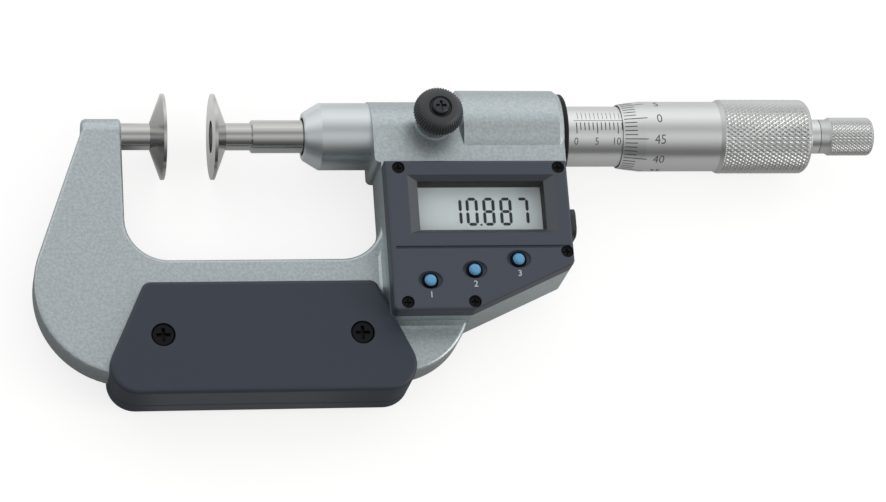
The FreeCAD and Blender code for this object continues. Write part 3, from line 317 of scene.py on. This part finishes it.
# %% Paint plan
paint = {
    enamel: ["frame_casting"],
    chrome: ["thimble", "ratchet_collar"],
    sleeve_highlight_chrome: ["graduated_sleeve"],
    nose_shade_chrome: ["nose_sleeve"],
    steel: ["anvil", "spindle_disc", "spindle"],
    machined: ["inner_sleeve", "adjusting_nut", "lead_screw", "thrust_nut", "thrust_ball",
               "anti_rotation_key", "rotor_key", "ratchet_clutch", "ratchet_spring",
               "ratchet_screw", "battery_contact", "battery_cell"],
    cover_plastic: ["display_cover"],
    plate_plastic: ["front_grip_plate", "rear_grip_plate"],
    black_plastic: ["data_port_cover", "battery_cap", "battery_holder", "button_switches"],
    ring_black: ["collar_ring"],
    black_oxide: ["cover_screws", "front_grip_screws", "rear_grip_screws"],
    blued_steel: ["clamp_screw"],
    blue_plastic: ["button_left", "button_middle", "button_right"],
    display_film: ["lcd_panel"],
    clear: ["window_lens"],
    board: ["circuit_board", "encoder_stator", "encoder_rotor"],
    brass: ["clamp_bush", "clamp_plug"],
    black_and_painted_shade: ["spindle_wiper", "lcd_contact_strips"],
}
for material, names in paint.items():
    for name in names:
        nodes[name].data.materials.clear()
        nodes[name].data.materials.append(material)
print("painted", sum(len(names) for names in paint.values()), "CAD nodes")

# %% [markdown]
# ## Knurled grips
# A diamond knurl is what two crossing sets of helical grooves leave standing: small
# four-sided pyramids. A displacement texture could fake it, but the crests catch light and
# break the outline, so here they are real. The height at a point is the lower of two
# triangle waves, one for each set of grooves, cut off at the crest and faded out where the
# turned piece has a plain edge. The mesh is one closed tube: out along the grip, round the
# end, back through the bore.

# %% Diamond knurl


def triangle_wave(t):
    """0 at whole numbers, 1 half way between them."""
    return 1 - np.abs(2 * (t - np.floor(t)) - 1)


def resample(corners, step):
    """Points along a closed polyline, at most one step apart, with its corners kept."""
    corners = np.asarray(corners, dtype=float)
    parts = []
    for start, end in zip(corners, np.roll(corners, -1, axis=0)):
        count = max(1, int(np.ceil(np.linalg.norm(end - start) / step)))
        parts.append(start + (end - start) * (np.arange(count) / count)[:, None])
    return np.concatenate(parts)


FADE = 0.35
CREST = 0.8


def knurled_tube(name, corners, band, pitch, around, depth, samples=7):
    """Closed tube of revolution with a diamond knurl of height min(wave 1, wave 2) * depth.

    corners is the closed profile as (x, radius); band is the knurled stretch of x and the
    least radius that is knurled; pitch is the diamond's length and around their number. The
    height is cut off at the share CREST and fades over the length FADE at both ends.
    """
    profile = resample(corners, pitch / samples)
    x, radius = profile[:, 0, None], profile[:, 1, None]
    columns = around * samples
    angle = np.arange(columns)[None, :] * TURN / columns
    inside = np.clip((x - band[0]) / FADE, 0, 1) * np.clip((band[1] - x) / FADE, 0, 1)
    inside = inside * (radius > band[2])
    lead, turn = (x - band[0]) / pitch, angle * around / TURN
    height = np.minimum(triangle_wave(lead + turn), triangle_wave(lead - turn))
    lift = depth * (np.clip(height, 0, CREST) / CREST - 1) * inside
    points = along_axis(x, radius + lift, angle)
    return make_mesh(name, points.reshape(-1, 3), grid_faces(len(profile), columns, True, True),
                     smooth=False)


# %% Thimble grip
grip_low, grip_high, grip_radius = span("thimble_grip")
seat_radius, face_radius, plain_below = 7.9, 8.3, 8.0
grip_profile = [
    (grip_low, seat_radius), (grip_low, face_radius), (grip_low + 1.0, grip_radius),
    (grip_high - 1.2, grip_radius), (grip_high - 0.75, grip_radius - 0.2),
    (grip_high - 0.35, grip_radius - 0.55), (grip_high - 0.1, grip_radius - 0.9),
    (grip_high, seat_radius),
]
grip_band = (grip_low + 0.9, grip_high - 0.6, plain_below)
grip = knurled_tube("knurled_grip", grip_profile, grip_band, pitch=1.57, around=52, depth=0.28)
dress(grip, knurl_chrome, "thimble")
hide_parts("thimble_grip")
print("thimble grip:", len(grip.data.polygons), "faces")

# %% [markdown]
# ## The ratchet knob
# The small knob at the end has the same knurl with finer diamonds, a smooth collar and a
# stepped bore for its screw. The helper takes any closed profile, so only the corners change.
# Cutting the bore with a boolean would also work, but it would leave long thin faces.

# %% Ratchet knob
knob_low, knob_high, ratchet_radius = span("ratchet_knob")
collar_radius, collar_length, shoulder = 4.1, 1.95, 0.8
bore_radius, screw_hole, screw_seat = 3.3, 1.5, 2.6
seat_depth, wall_depth = 2.4, 4.2
collar_end = knob_low + collar_length
ratchet_profile = [
    (knob_low, bore_radius), (knob_low, collar_radius), (collar_end, collar_radius),
    (collar_end + shoulder, ratchet_radius), (knob_high - 1.0, ratchet_radius),
    (knob_high - 0.6, ratchet_radius - 0.2), (knob_high - 0.3, ratchet_radius - 0.5),
    (knob_high, ratchet_radius - 1.2), (knob_high, screw_seat),
    (knob_high - seat_depth, screw_seat), (knob_high - seat_depth, screw_hole),
    (knob_high - wall_depth, screw_hole), (knob_high - wall_depth, bore_radius),
]
ratchet_band = (knob_low + 2.3, knob_high - 0.5, ratchet_radius - 0.6)
ratchet = knurled_tube("knurled_ratchet", ratchet_profile, ratchet_band,
                       pitch=1.05, around=36, depth=0.2)
dress(ratchet, knurl_chrome, "ratchet")
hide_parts("ratchet_knob")
print("ratchet knob:", len(ratchet.data.polygons), "faces")

# %% [markdown]
# ## The clamp knob
# The knob is a moulded dome with a fine straight knurl on its skirt. A straight knurl is a
# gear-like wave around the axis: the radius is the profile's own, less a triangle wave that
# is at full depth on the steep skirt and fades on the dome. Teeth placed one by one would
# need a joint with the dome, while a wave grows out of it. The top carries a shallow dish for
# the screw.

# %% Clamp knob
knob_start, knob_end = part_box("clamp_knob")
KNOB_X = (knob_start[0] + knob_end[0]) / 2 / MM
KNOB_LOW, KNOB_HIGH = knob_start[2] / MM, knob_end[2] / MM
KNOB_RADIUS = (knob_end[0] - knob_start[0]) / 2 / MM
SKIRT_LOW = KNOB_HIGH - 4.3
SHAFT_RADIUS, HUB_RADIUS = 1.5, 3.3
DISH_DEPTH = 0.6
DOME_HEIGHT, DOME_INSET = 3.2, 2.9
KNURL_FADE_START, KNURL_FADE_WIDTH = 1.6, 1.1


def knob_surface(corners, teeth, depth, samples=6):
    """Closed ring of revolution about the knob's axis with a straight knurl.

    radius = profile radius - depth * triangle wave(teeth * angle) * weight, where the weight
    is 1 on the skirt and falls to 0 where the dome leaves it.
    """
    profile = resample(corners, 0.25)
    radius, z = profile[:, 0, None], profile[:, 1, None]
    columns = teeth * samples
    angle = np.arange(columns)[None, :] * TURN / columns
    rise = (radius - (KNOB_RADIUS - KNURL_FADE_START)) / KNURL_FADE_WIDTH
    weight = np.clip(rise, 0, 1) * (z > SKIRT_LOW + 0.1)
    radius = radius - depth * triangle_wave(angle * teeth / TURN) * weight
    points = np.stack(np.broadcast_arrays(KNOB_X + radius * np.cos(angle),
                                          radius * np.sin(angle), z), axis=-1)
    return make_mesh("knurled_clamp_knob", points.reshape(-1, 3),
                     grid_faces(len(profile), columns, True, True)[:, ::-1])


dome = np.linspace(0, 1, 9)
dome_radius = KNOB_RADIUS - DOME_INSET * dome ** 1.7
dome_height = KNOB_HIGH - DOME_HEIGHT + DOME_HEIGHT * np.sin(dome * np.pi / 2) ** 0.9
knob_profile = [
    (SHAFT_RADIUS, KNOB_LOW), (HUB_RADIUS, KNOB_LOW), (HUB_RADIUS, SKIRT_LOW),
    (KNOB_RADIUS - 0.6, SKIRT_LOW), (KNOB_RADIUS, SKIRT_LOW + 0.5),
    *zip(dome_radius, dome_height), (2.65, KNOB_HIGH), (2.45, KNOB_HIGH - DISH_DEPTH),
    (SHAFT_RADIUS, KNOB_HIGH - DISH_DEPTH),
]
knob = knob_surface(knob_profile, teeth=52, depth=0.3)
dress(knob, knob_plastic, "clamp_knob")
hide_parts("clamp_knob")
print("clamp knob radius", round(KNOB_RADIUS, 2), "mm at x", round(KNOB_X, 1))

# %% [markdown]
# ## Engraved marks
# The scales of such a tool are cut into the metal and filled with dark ink. A painted texture
# would blur close up, so each mark is a shallow bar bent round its cylinder: a small grid in x
# and angle, with an outer skin just proud of the metal and a root below it. One mesh holds a
# whole scale, because its bars share one material and one body.

# %% Bars bent round the axis
PROUD = 0.012
ROOT = 0.05
INDEX = np.radians(9.9)


def bent_bars(name, bars, radius_at, steps=5):
    """Bars (x start, x end, angle start, angle end) as closed shells on the radius at x.

    Each shell is an outer grid at radius + PROUD and its mirror at radius - ROOT, sewn along
    the border, all bars at once.
    """
    bars = np.asarray(bars, dtype=float)
    t = np.linspace(0, 1, steps)
    x = bars[:, 0, None, None] + (bars[:, 1] - bars[:, 0])[:, None, None] * t[None, :, None]
    angle = bars[:, 2, None, None] + (bars[:, 3] - bars[:, 2])[:, None, None] * t[None, None, :]
    x, angle = np.broadcast_arrays(x, angle)
    radius = radius_at(x)
    outer = along_axis(x, radius + PROUD, angle)
    inner = along_axis(x, radius - ROOT, angle)
    points = np.stack([outer, inner], axis=1).reshape(-1, 3)
    top = grid_faces(steps, steps)
    bottom = top[:, ::-1] + steps * steps
    edge = np.concatenate([np.arange(steps), np.arange(1, steps) * steps + steps - 1,
                           steps * steps - 1 - np.arange(1, steps),
                           np.arange(steps - 2, 0, -1) * steps])
    after = np.roll(edge, -1)
    wall = np.stack([edge, after, after + steps * steps, edge + steps * steps], axis=1)
    shell = np.concatenate([top, bottom, wall])
    faces = shell[None] + (np.arange(len(bars)) * 2 * steps * steps)[:, None, None]
    return make_mesh(name, points, faces.reshape(-1, 4), smooth=False)


# %% [markdown]
# ## Numbers
# Blender's own font gives plain numbers, which are made a mesh and then moved point by point:
# flat for a printed number, wrapped on a cylinder for an engraved one. A Curve modifier could
# bend them too, but it would leave the pieces unfinished, with the bend held in a modifier.

# %% Text as a mesh
CAP_HEIGHT = 0.72
CONDENSED = 0.88
STRIP = 0.25


def letters(text, height, weight, half_depth):
    """Mesh of upright letters: a capital is height tall, and weight widens its strokes."""
    curve = bpy.data.curves.new("letters", "FONT")
    curve.body = text
    curve.size = height / CAP_HEIGHT
    curve.align_x = "CENTER"
    curve.offset = weight * height
    curve.extrude = half_depth
    curve.resolution_u = 3
    shape = bpy.data.objects.new("letters", curve)
    bpy.context.scene.collection.objects.link(shape)
    flat = bpy.data.meshes.new_from_object(shape)
    bpy.data.objects.remove(shape)
    return flat


def points_and_faces(flat):
    """The points and faces of a mesh that is no longer needed."""
    points = np.empty(len(flat.vertices) * 3)
    flat.vertices.foreach_get("co", points)
    faces = [tuple(face.vertices) for face in flat.polygons]
    bpy.data.meshes.remove(flat)
    return points.reshape(-1, 3), faces


def bent_text(text, height, x_middle, angle_middle, radius):
    """Flat letters wrapped on a cylinder: x stays, and y becomes an angle y / radius.

    The letters' caps and sides are welded, and then cut into strips, because a tall straight
    stroke would otherwise sink below the metal in its middle, by height ** 2 / (8 * radius).
    """
    flat = letters(text, height, weight=-0.004, half_depth=0.5)
    strips = bmesh.new()
    strips.from_mesh(flat)
    bmesh.ops.remove_doubles(strips, verts=strips.verts, dist=1e-4)
    bmesh.ops.recalc_face_normals(strips, faces=strips.faces)
    for level in np.arange(STRIP, height, STRIP):
        bmesh.ops.bisect_plane(strips, geom=strips.verts[:] + strips.edges[:] + strips.faces[:],
                               plane_co=(0, level, 0), plane_no=(0, 1, 0))
    strips.to_mesh(flat)
    strips.free()
    points, faces = points_and_faces(flat)
    level = np.where(points[:, 2] > 0, PROUD, -ROOT)
    angle = angle_middle + (points[:, 1] - height / 2) / radius
    return along_axis(x_middle + points[:, 0] * CONDENSED, radius + level, angle), faces


def flat_text(text, x, y, height, level):
    """Letters printed on a level face, with their middle at x and y."""
    flat = letters(text, height, weight=0.012, half_depth=0.02)
    points, faces = points_and_faces(flat)
    return points + (x, y - height / 2, level), faces


# %% [markdown]
# ## The sleeve's scale
# The sleeve has a line along the axis, millimetre marks below it and thinner half-millimetre
# marks above it, with a number at every fifth. The line and the half-millimetre marks take a
# lighter ink, a painted highlight where the sleeve's upper side catches the light. One list of
# bars is worked out for each ink, from the zero mark on. Copies made by an Array modifier
# would have to be told apart again to lengthen each fifth one.

# %% Sleeve scale
SLEEVE_RADIUS = span("graduated_sleeve")[2]
SCALE_ZERO = 96.5
RANGE = 25
LINE = 0.22
THIN_LINE = 0.14
FINE_MARK = (13.4, 29.2)
FULL_MARK = (-9.6, 5.6)
FIFTH_MARK = (-16.3, 5.6)
NUMBER_ANGLE = np.radians(-30.5)
SLEEVE_NUMBER = 1.8


def sleeve_radius(x):
    """The sleeve is a plain cylinder."""
    return np.full_like(x, SLEEVE_RADIUS)


def mark(x, angles_deg, width=LINE):
    """Bar across the axis at x between two angles."""
    return (x - width / 2, x + width / 2, *np.radians(angles_deg))


half_line = THIN_LINE / 2 / SLEEVE_RADIUS
fine_bars = [(SCALE_ZERO - 0.6, span("graduated_sleeve")[1] - 0.5,
              INDEX - half_line, INDEX + half_line)]
fine_bars += [mark(SCALE_ZERO + millimetre + 0.5, FINE_MARK, THIN_LINE)
              for millimetre in range(RANGE)]
full_bars = [mark(SCALE_ZERO + millimetre, FULL_MARK if millimetre % 5 else FIFTH_MARK)
             for millimetre in range(RANGE + 1)]
# The line and the upper marks take the lighter ink: a painted highlight on the sleeve.
fine_scale = bent_bars("sleeve_fine_scale", fine_bars, sleeve_radius)
dress(fine_scale, sleeve_highlight_ink, "frame")
sleeve_scale = bent_bars("sleeve_scale", full_bars, sleeve_radius)
dress(sleeve_scale, ink, "frame")
sleeve_numbers = make_mesh("sleeve_numbers", *join_shapes([
    bent_text(str(value), SLEEVE_NUMBER, SCALE_ZERO + value - (0.4 if value > 9 else 0.15),
              NUMBER_ANGLE, SLEEVE_RADIUS) for value in range(0, RANGE + 1, 5)]), smooth=False)
dress(sleeve_numbers, number_ink, "frame")
print("sleeve:", len(fine_bars) + len(full_bars), "marks from x", SCALE_ZERO)

# %% [markdown]
# ## The thimble's scale
# The thimble's bevel has fifty marks, so that one turn of the half-millimetre screw is read
# to a hundredth. Every fifth mark is long and goes over the bevel's corner. Its length puts
# the tenth of its eleven rows of points on the corner, which a row elsewhere would cut.

# %% Thimble scale
THIMBLE_EDGE = span("thimble")[0]
THIMBLE_RADIUS = span("thimble")[2]
EDGE_RADIUS = 7.6
BEVEL = 5.3
DIVISIONS = 50
MARK_START = 0.35
SHORT_MARK = 3.3
LONG_MARK = MARK_START + (BEVEL - MARK_START) * 10 / 9
NUMBER_PLACE = 8.8
THIMBLE_NUMBER = 2.35


def thimble_radius(x):
    """Straight bevel from the edge, then a plain cylinder."""
    return np.interp(x, [THIMBLE_EDGE, THIMBLE_EDGE + BEVEL], [EDGE_RADIUS, THIMBLE_RADIUS])


division = TURN / DIVISIONS
half = LINE / 2 / THIMBLE_RADIUS
thimble_bars = [
    (THIMBLE_EDGE + MARK_START, THIMBLE_EDGE + (SHORT_MARK if count % 5 else LONG_MARK),
     INDEX + count * division - half, INDEX + count * division + half)
    for count in range(DIVISIONS)]
thimble_scale = bent_bars("thimble_scale", thimble_bars, thimble_radius, steps=11)
dress(thimble_scale, ink, "thimble")
thimble_numbers = make_mesh("thimble_numbers", *join_shapes([
    bent_text(str(value), THIMBLE_NUMBER, THIMBLE_EDGE + NUMBER_PLACE,
              INDEX + value * division, THIMBLE_RADIUS)
    for value in range(0, DIVISIONS, 5)]), smooth=False)
dress(thimble_numbers, number_ink, "thimble")
print("thimble:", DIVISIONS, "divisions of", round(np.degrees(division), 1), "degrees")

# %% [markdown]
# ## The display
# A liquid-crystal display shows each digit with seven bars. A bar is a flat hexagon: two
# points at the ends and a straight body, so that neighbours meet along a thin slanted gap.
# The digits lie a few hundredths of a millimetre over the film, which is what the eye reads
# as ink under the glass. A font would give round corners, so the bars are worked out here.

# %% Seven-segment digits
DIGIT_WIDTH = 2.85
DIGIT_HEIGHT = 6.9
BAR = 0.72
BASE_LINE = -25.5
FILM_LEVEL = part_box("lcd_panel")[1][2] / MM
SEGMENTS = {
    "a": ((0, 1), (1, 1)), "b": ((1, 1), (1, 0.5)), "c": ((1, 0.5), (1, 0)),
    "d": ((0, 0), (1, 0)), "e": ((0, 0.5), (0, 0)), "f": ((0, 1), (0, 0.5)),
    "g": ((0, 0.5), (1, 0.5)),
}
LIT = {"0": "abcdef", "1": "bc", "7": "abc", "8": "abcdefg"}
READING = "10887"
DIGIT_LEFTS = (64.4, 68.2, 72.15, 76.15, 80.15)
POINT_LEFT = 71.35
POINT_SIZE = 0.45


def hexagon(start, end, gap=0.1, width=BAR):
    """Pointed bar from start to end, shortened by a gap at both ends."""
    start, end = np.array(start, float), np.array(end, float)
    along = (end - start) / np.linalg.norm(end - start)
    across = np.array([-along[1], along[0]]) * width / 2
    start, end = start + along * gap, end - along * gap
    half = along * width / 2
    return np.array([start, start + half - across, end - half - across, end,
                     end - half + across, start + half + across])


def prism(outline, low, high):
    """Points and faces of a flat shape between two levels."""
    count = len(outline)
    points = np.concatenate([np.c_[outline, np.full(count, level)] for level in (low, high)])
    ring = np.arange(count)
    after = np.roll(ring, -1)
    sides = np.stack([ring, after, after + count, ring + count], axis=1)
    return points, [tuple(ring[::-1])] + [tuple(ring + count)] + [tuple(s) for s in sides]


bars = []
for digit, left in zip(READING, DIGIT_LEFTS):
    inside = (DIGIT_WIDTH - BAR, DIGIT_HEIGHT - BAR)
    corner = np.array([left + BAR / 2, BASE_LINE + BAR / 2])
    for letter in LIT[digit]:
        start, end = (np.array(point) * inside for point in SEGMENTS[letter])
        bars.append(hexagon(start + corner, end + corner))
bars.append((POINT_LEFT, BASE_LINE) + POINT_SIZE * np.array([[0, 0], [1, 0], [1, 1], [0, 1]]))
digits = make_mesh("display_digits", *join_shapes([
    prism(outline, FILM_LEVEL - 0.02, FILM_LEVEL + 0.03) for outline in bars]), smooth=False)
dress(digits, segment_ink, "frame")
print("display shows", len(bars), "lit bars")

# %% [markdown]
# ## The window's walls
# The walls between the window and the film are black, painted shade for the deep well, since
# as cover plastic they would mirror the bright film. The bevel round the window is polished, so
# that its four sides mirror four parts of the room, and its plastic is a little lighter than
# the cover's, painted light on the bevel. Both belong to the cover, a CAD piece whose mesh is
# left alone, so their faces are found by their place and given materials of their own. Thin
# plates laid over them would do the same with more pieces.

# %% Window walls black as painted shade, polished bevel lighter as painted light
cover = nodes["display_cover"].data
# The window's walls take the black as painted shade, and its bevel the lighter polished plastic
# as painted light.
cover.materials.append(black_and_painted_shade)
cover.materials.append(polished_lit_plastic)
lens_low, lens_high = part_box("window_lens")


def beside_window(face, margin_mm):
    """Whether a face lies over the window or within a margin of its edge."""
    return (lens_low.x - margin_mm * MM < face.center.x < lens_high.x + margin_mm * MM
            and lens_low.y - margin_mm * MM < face.center.y < lens_high.y + margin_mm * MM)


def cover_material(face):
    """1: walls under the window, black painted shade; 2: polished bevel, painted light; 0:
    rest.
    """
    if abs(face.normal.z) < 0.1 and face.center.z < lens_low.z and beside_window(face, 1.0):
        return 1
    if 0.2 < face.normal.z < 0.97 and face.center.z > lens_low.z and beside_window(face, 2.4):
        return 2
    return 0


chosen = [cover_material(face) for face in cover.polygons]
cover.polygons.foreach_set("material_index", chosen)
print("cover:", chosen.count(1), "black faces and", chosen.count(2), "polished ones")

# %% [markdown]
# ## Buttons and their numbers
# Each button gets a plain number printed on the cover. Flat text is made a mesh, placed in
# its vertices, and stands just proud of the plastic, where a picture of it would need a map
# of the cover. Only a button's blue head is seen from above, and the button's faces that lie
# below the cover's top are black, painted shade, so that the slot reads as a dark ring round
# it.

# %% Buttons and their numbers
COVER_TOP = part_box("display_cover")[1][2] / MM
BUTTONS = ("button_left", "button_middle", "button_right")
BUTTON_NUMBER, NUMBER_DROP = 1.5, 3.4

# Each button's faces below the cover's top take the black: painted shade in its slot.
for name in BUTTONS:
    mesh = nodes[name].data
    mesh.materials.append(black_and_painted_shade)
    painted_shade_faces = [face.center.z < (COVER_TOP - 0.1) * MM for face in mesh.polygons]
    mesh.polygons.foreach_set("material_index", [int(below) for below in painted_shade_faces])

labels = []
for count, name in enumerate(BUTTONS, 1):
    low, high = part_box(name)
    middle = (low + high) / 2 / MM
    labels.append(flat_text(str(count), middle[0], middle[1] - NUMBER_DROP, BUTTON_NUMBER,
                            COVER_TOP))
button_numbers = make_mesh("button_numbers", *join_shapes(labels), smooth=False)
dress(button_numbers, label_ink, "frame")
print("buttons:", len(BUTTONS), "with numbers at z", round(COVER_TOP, 1), "mm")

# %% [markdown]
# ## The floor
# The object lies on its back on a white table. A brighter lamp would whiten the table but
# also wash out the tool. So the floor is a diffuse plane with a light of its own that only
# the camera and polished metal see: it renders as paper white, takes a soft shadow and puts
# no extra light on the tool. What the metal sees of it is brighter behind the tool, to its
# right and between the jaws, as white cards would be.

# %% Floor
FLOOR_SIZE = 3000.0
FLOOR_MIDDLE = (60.0, -20.0)
CAMERA_GLOW = 0.75

low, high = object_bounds()
square = np.array([[-1, -1, 0], [1, -1, 0], [1, 1, 0], [-1, 1, 0]])
floor = make_mesh("floor", square * FLOOR_SIZE / 2 + (*FLOOR_MIDDLE, low[2] / MM),
                  [[0, 1, 2, 3]], smooth=False)
floor_paint = finish("floor_white", (0.36, 0.36, 0.354, 1.0), 0.9, Specular_IOR_Level=0.0)
tree = floor_paint.node_tree


def calculation(tree, operation, first, second):
    """Math node on two inputs, each a socket or a plain number."""
    node = tree.nodes.new("ShaderNodeMath")
    node.operation = operation
    for socket, value in zip(node.inputs, (first, second)):
        if isinstance(value, (int, float)):
            socket.default_value = value
        else:
            tree.links.new(value, socket)
    return node.outputs[0]


def ease(tree, value, start, end, low, high):
    """Smooth rise from low to high while the value runs from start to end."""
    node = tree.nodes.new("ShaderNodeMapRange")
    node.interpolation_type = "SMOOTHSTEP"
    for socket, number in zip(node.inputs[1:5], (start, end, low, high)):
        socket.default_value = number
    tree.links.new(value, node.inputs[0])
    return node.outputs[0]


place = tree.nodes.new("ShaderNodeTexCoord")
floor_axes = tree.nodes.new("ShaderNodeSeparateXYZ")
tree.links.new(place.outputs["Object"], floor_axes.inputs[0])
behind = ease(tree, floor_axes.outputs["Y"], -0.01, 0.03, 0.0, 0.5)
beside = ease(tree, floor_axes.outputs["X"], 0.05, 0.1, 0.0, 0.2)
throat_start = ease(tree, floor_axes.outputs["X"], -0.008, -0.002, 0, 0.22)
throat_end = ease(tree, floor_axes.outputs["X"], 0.03, 0.05, 1, 0)
throat = calculation(tree, "MULTIPLY", throat_start, throat_end)
glow = calculation(tree, "ADD", calculation(tree, "MAXIMUM", behind, beside), throat)
rays = tree.nodes.new("ShaderNodeLightPath")
mirrored = calculation(tree, "MULTIPLY", rays.outputs["Is Glossy Ray"], glow)
seen = calculation(tree, "MULTIPLY", rays.outputs["Is Camera Ray"], CAMERA_GLOW)
shader = tree.nodes["Principled BSDF"]
shader.inputs["Emission Color"].default_value = (1, 1, 1, 1)
tree.links.new(calculation(tree, "ADD", mirrored, seen), shader.inputs["Emission Strength"])
floor.data.materials.append(floor_paint)
floor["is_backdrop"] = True
print("floor", FLOOR_SIZE / 1000, "m wide, at z", round(low[2] / MM, 2), "mm")

# %% [markdown]
# ## The light
# A turned piece mirrors the room in bands along its axis. The band at angle a round the
# piece shows the light at angle 2a less the camera's own, so the room can be written as one
# row of brightness against the angle round the measuring axis: dark in front, grey overhead
# with a dim gap where the camera stands, and bright behind. Area lamps could give the same
# bands, but each would need its place and size found by trial, and a row of numbers is easy
# to read and change. One lamp on the right fills the walls that face that way.

# %% World
STUDIO = [(-180, 0.2), (-110, 0.14), (-82, 0.08), (-60, 0.2), (-46, 0.44), (-34, 0.66),
          (-20, 0.86), (-8, 0.7), (2, 0.47), (9, 0.5), (17, 0.72), (28, 0.95), (38, 1.06),
          (48, 1.3), (60, 1.15), (82, 1.05), (105, 0.85), (180, 0.3)]
world = bpy.data.worlds.new("studio")
world.use_nodes = True
bpy.context.scene.world = world
tree = world.node_tree
background = tree.nodes["Background"]
direction = tree.nodes.new("ShaderNodeTexCoord")
axes = tree.nodes.new("ShaderNodeSeparateXYZ")
tree.links.new(direction.outputs["Generated"], axes.inputs[0])
around = calculation(tree, "ARCTAN2", axes.outputs["Y"], axes.outputs["Z"])
turn = calculation(tree, "ADD", calculation(tree, "DIVIDE", around, TURN), 0.5)
curve = tree.nodes.new("ShaderNodeValToRGB")
brightest = max(light for angle, light in STUDIO)
stops = curve.color_ramp.elements
for angle, light in STUDIO[1:-1]:
    stops.new((angle + 180) / 360)
for element, (angle, light) in zip(stops, STUDIO):
    element.color = (light / brightest,) * 3 + (1.0,)
tree.links.new(turn, curve.inputs["Fac"])
tree.links.new(curve.outputs["Color"], background.inputs["Color"])
background.inputs["Strength"].default_value = brightest
degrees = np.arange(-90, 91)
upward = np.interp(degrees, *zip(*STUDIO)) * np.cos(np.radians(degrees))
print("light on a face that looks up:", round(float(upward.sum() * np.radians(1) / 2), 2))

# %% Side lamp


def softbox(name, place, target, size, watts):
    """Square area lamp at a place, in metres, facing a target."""
    lamp = bpy.data.lights.new(name, "AREA")
    lamp.size = size
    lamp.energy = watts
    lamp.color = (1.0, 0.96, 0.9)
    lamp_object = bpy.data.objects.new(name, lamp)
    bpy.context.scene.collection.objects.link(lamp_object)
    lamp_object.location = place
    back = np.array(place) - np.array(target)
    back = back / np.linalg.norm(back)
    side = np.cross((0.0, 0.0, 1.0), back)
    side = side / np.linalg.norm(side)
    turn = Matrix(np.stack([side, np.cross(back, side), back], axis=1).tolist())
    lamp_object.rotation_euler = turn.to_euler()
    return lamp_object


side_lamp = softbox("side_softbox", (0.75, -0.3, 0.35), (0.06, -0.02, 0), 0.4, 2.0)
print("side lamp of", side_lamp.data.energy, "W")

# %% [markdown]
# ## The camera
# The camera is a long lens above, in front of and a little to the left of the tool. A nearer
# wide lens would make the discs look tilted apart. Its three axes are written out, because
# the camera stands askew to the tool, and three angles would be harder to check.

# %% Camera
CAMERA_PLACE = (-68.2, -267.87, 652.81)
CAMERA_RIGHT = (0.98244, -0.07113, 0.1725)
CAMERA_UP = (0.0073, 0.93843, 0.3454)
CAMERA_BACK = (-0.18644, -0.33808, 0.92246)
LENS = 124.03
SENSOR = 36.0
camera_data = bpy.data.cameras.new("camera")
camera_data.lens = LENS
camera_data.sensor_width = SENSOR
camera_data.sensor_fit = "HORIZONTAL"
camera_data.clip_start = 0.02
camera = bpy.data.objects.new("camera", camera_data)
bpy.context.scene.collection.objects.link(camera)
camera.rotation_euler = Matrix(np.stack([CAMERA_RIGHT, CAMERA_UP, CAMERA_BACK],
                                        axis=1).tolist()).to_euler()
camera.location = np.array(CAMERA_PLACE) * MM
bpy.context.scene.camera = camera
bpy.context.scene.view_settings.view_transform = "Standard"
print("camera lens", LENS, "mm,", round(float(np.linalg.norm(camera.location)), 3), "m away")

# %% [markdown]
# ## Comparing the sizes
# The dressed tool has to keep the size of its CAD model, since other parts are fitted to it.
# Comparing the two boxes in numbers shows more than a look at the picture would.

# %% Compare sizes and finish
visual_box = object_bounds()
growth = np.abs(np.array(visual_box) - np.array(cad_box)).max() / MM
print("the dressed tool differs from the CAD box by", round(float(growth), 3), "mm at most")
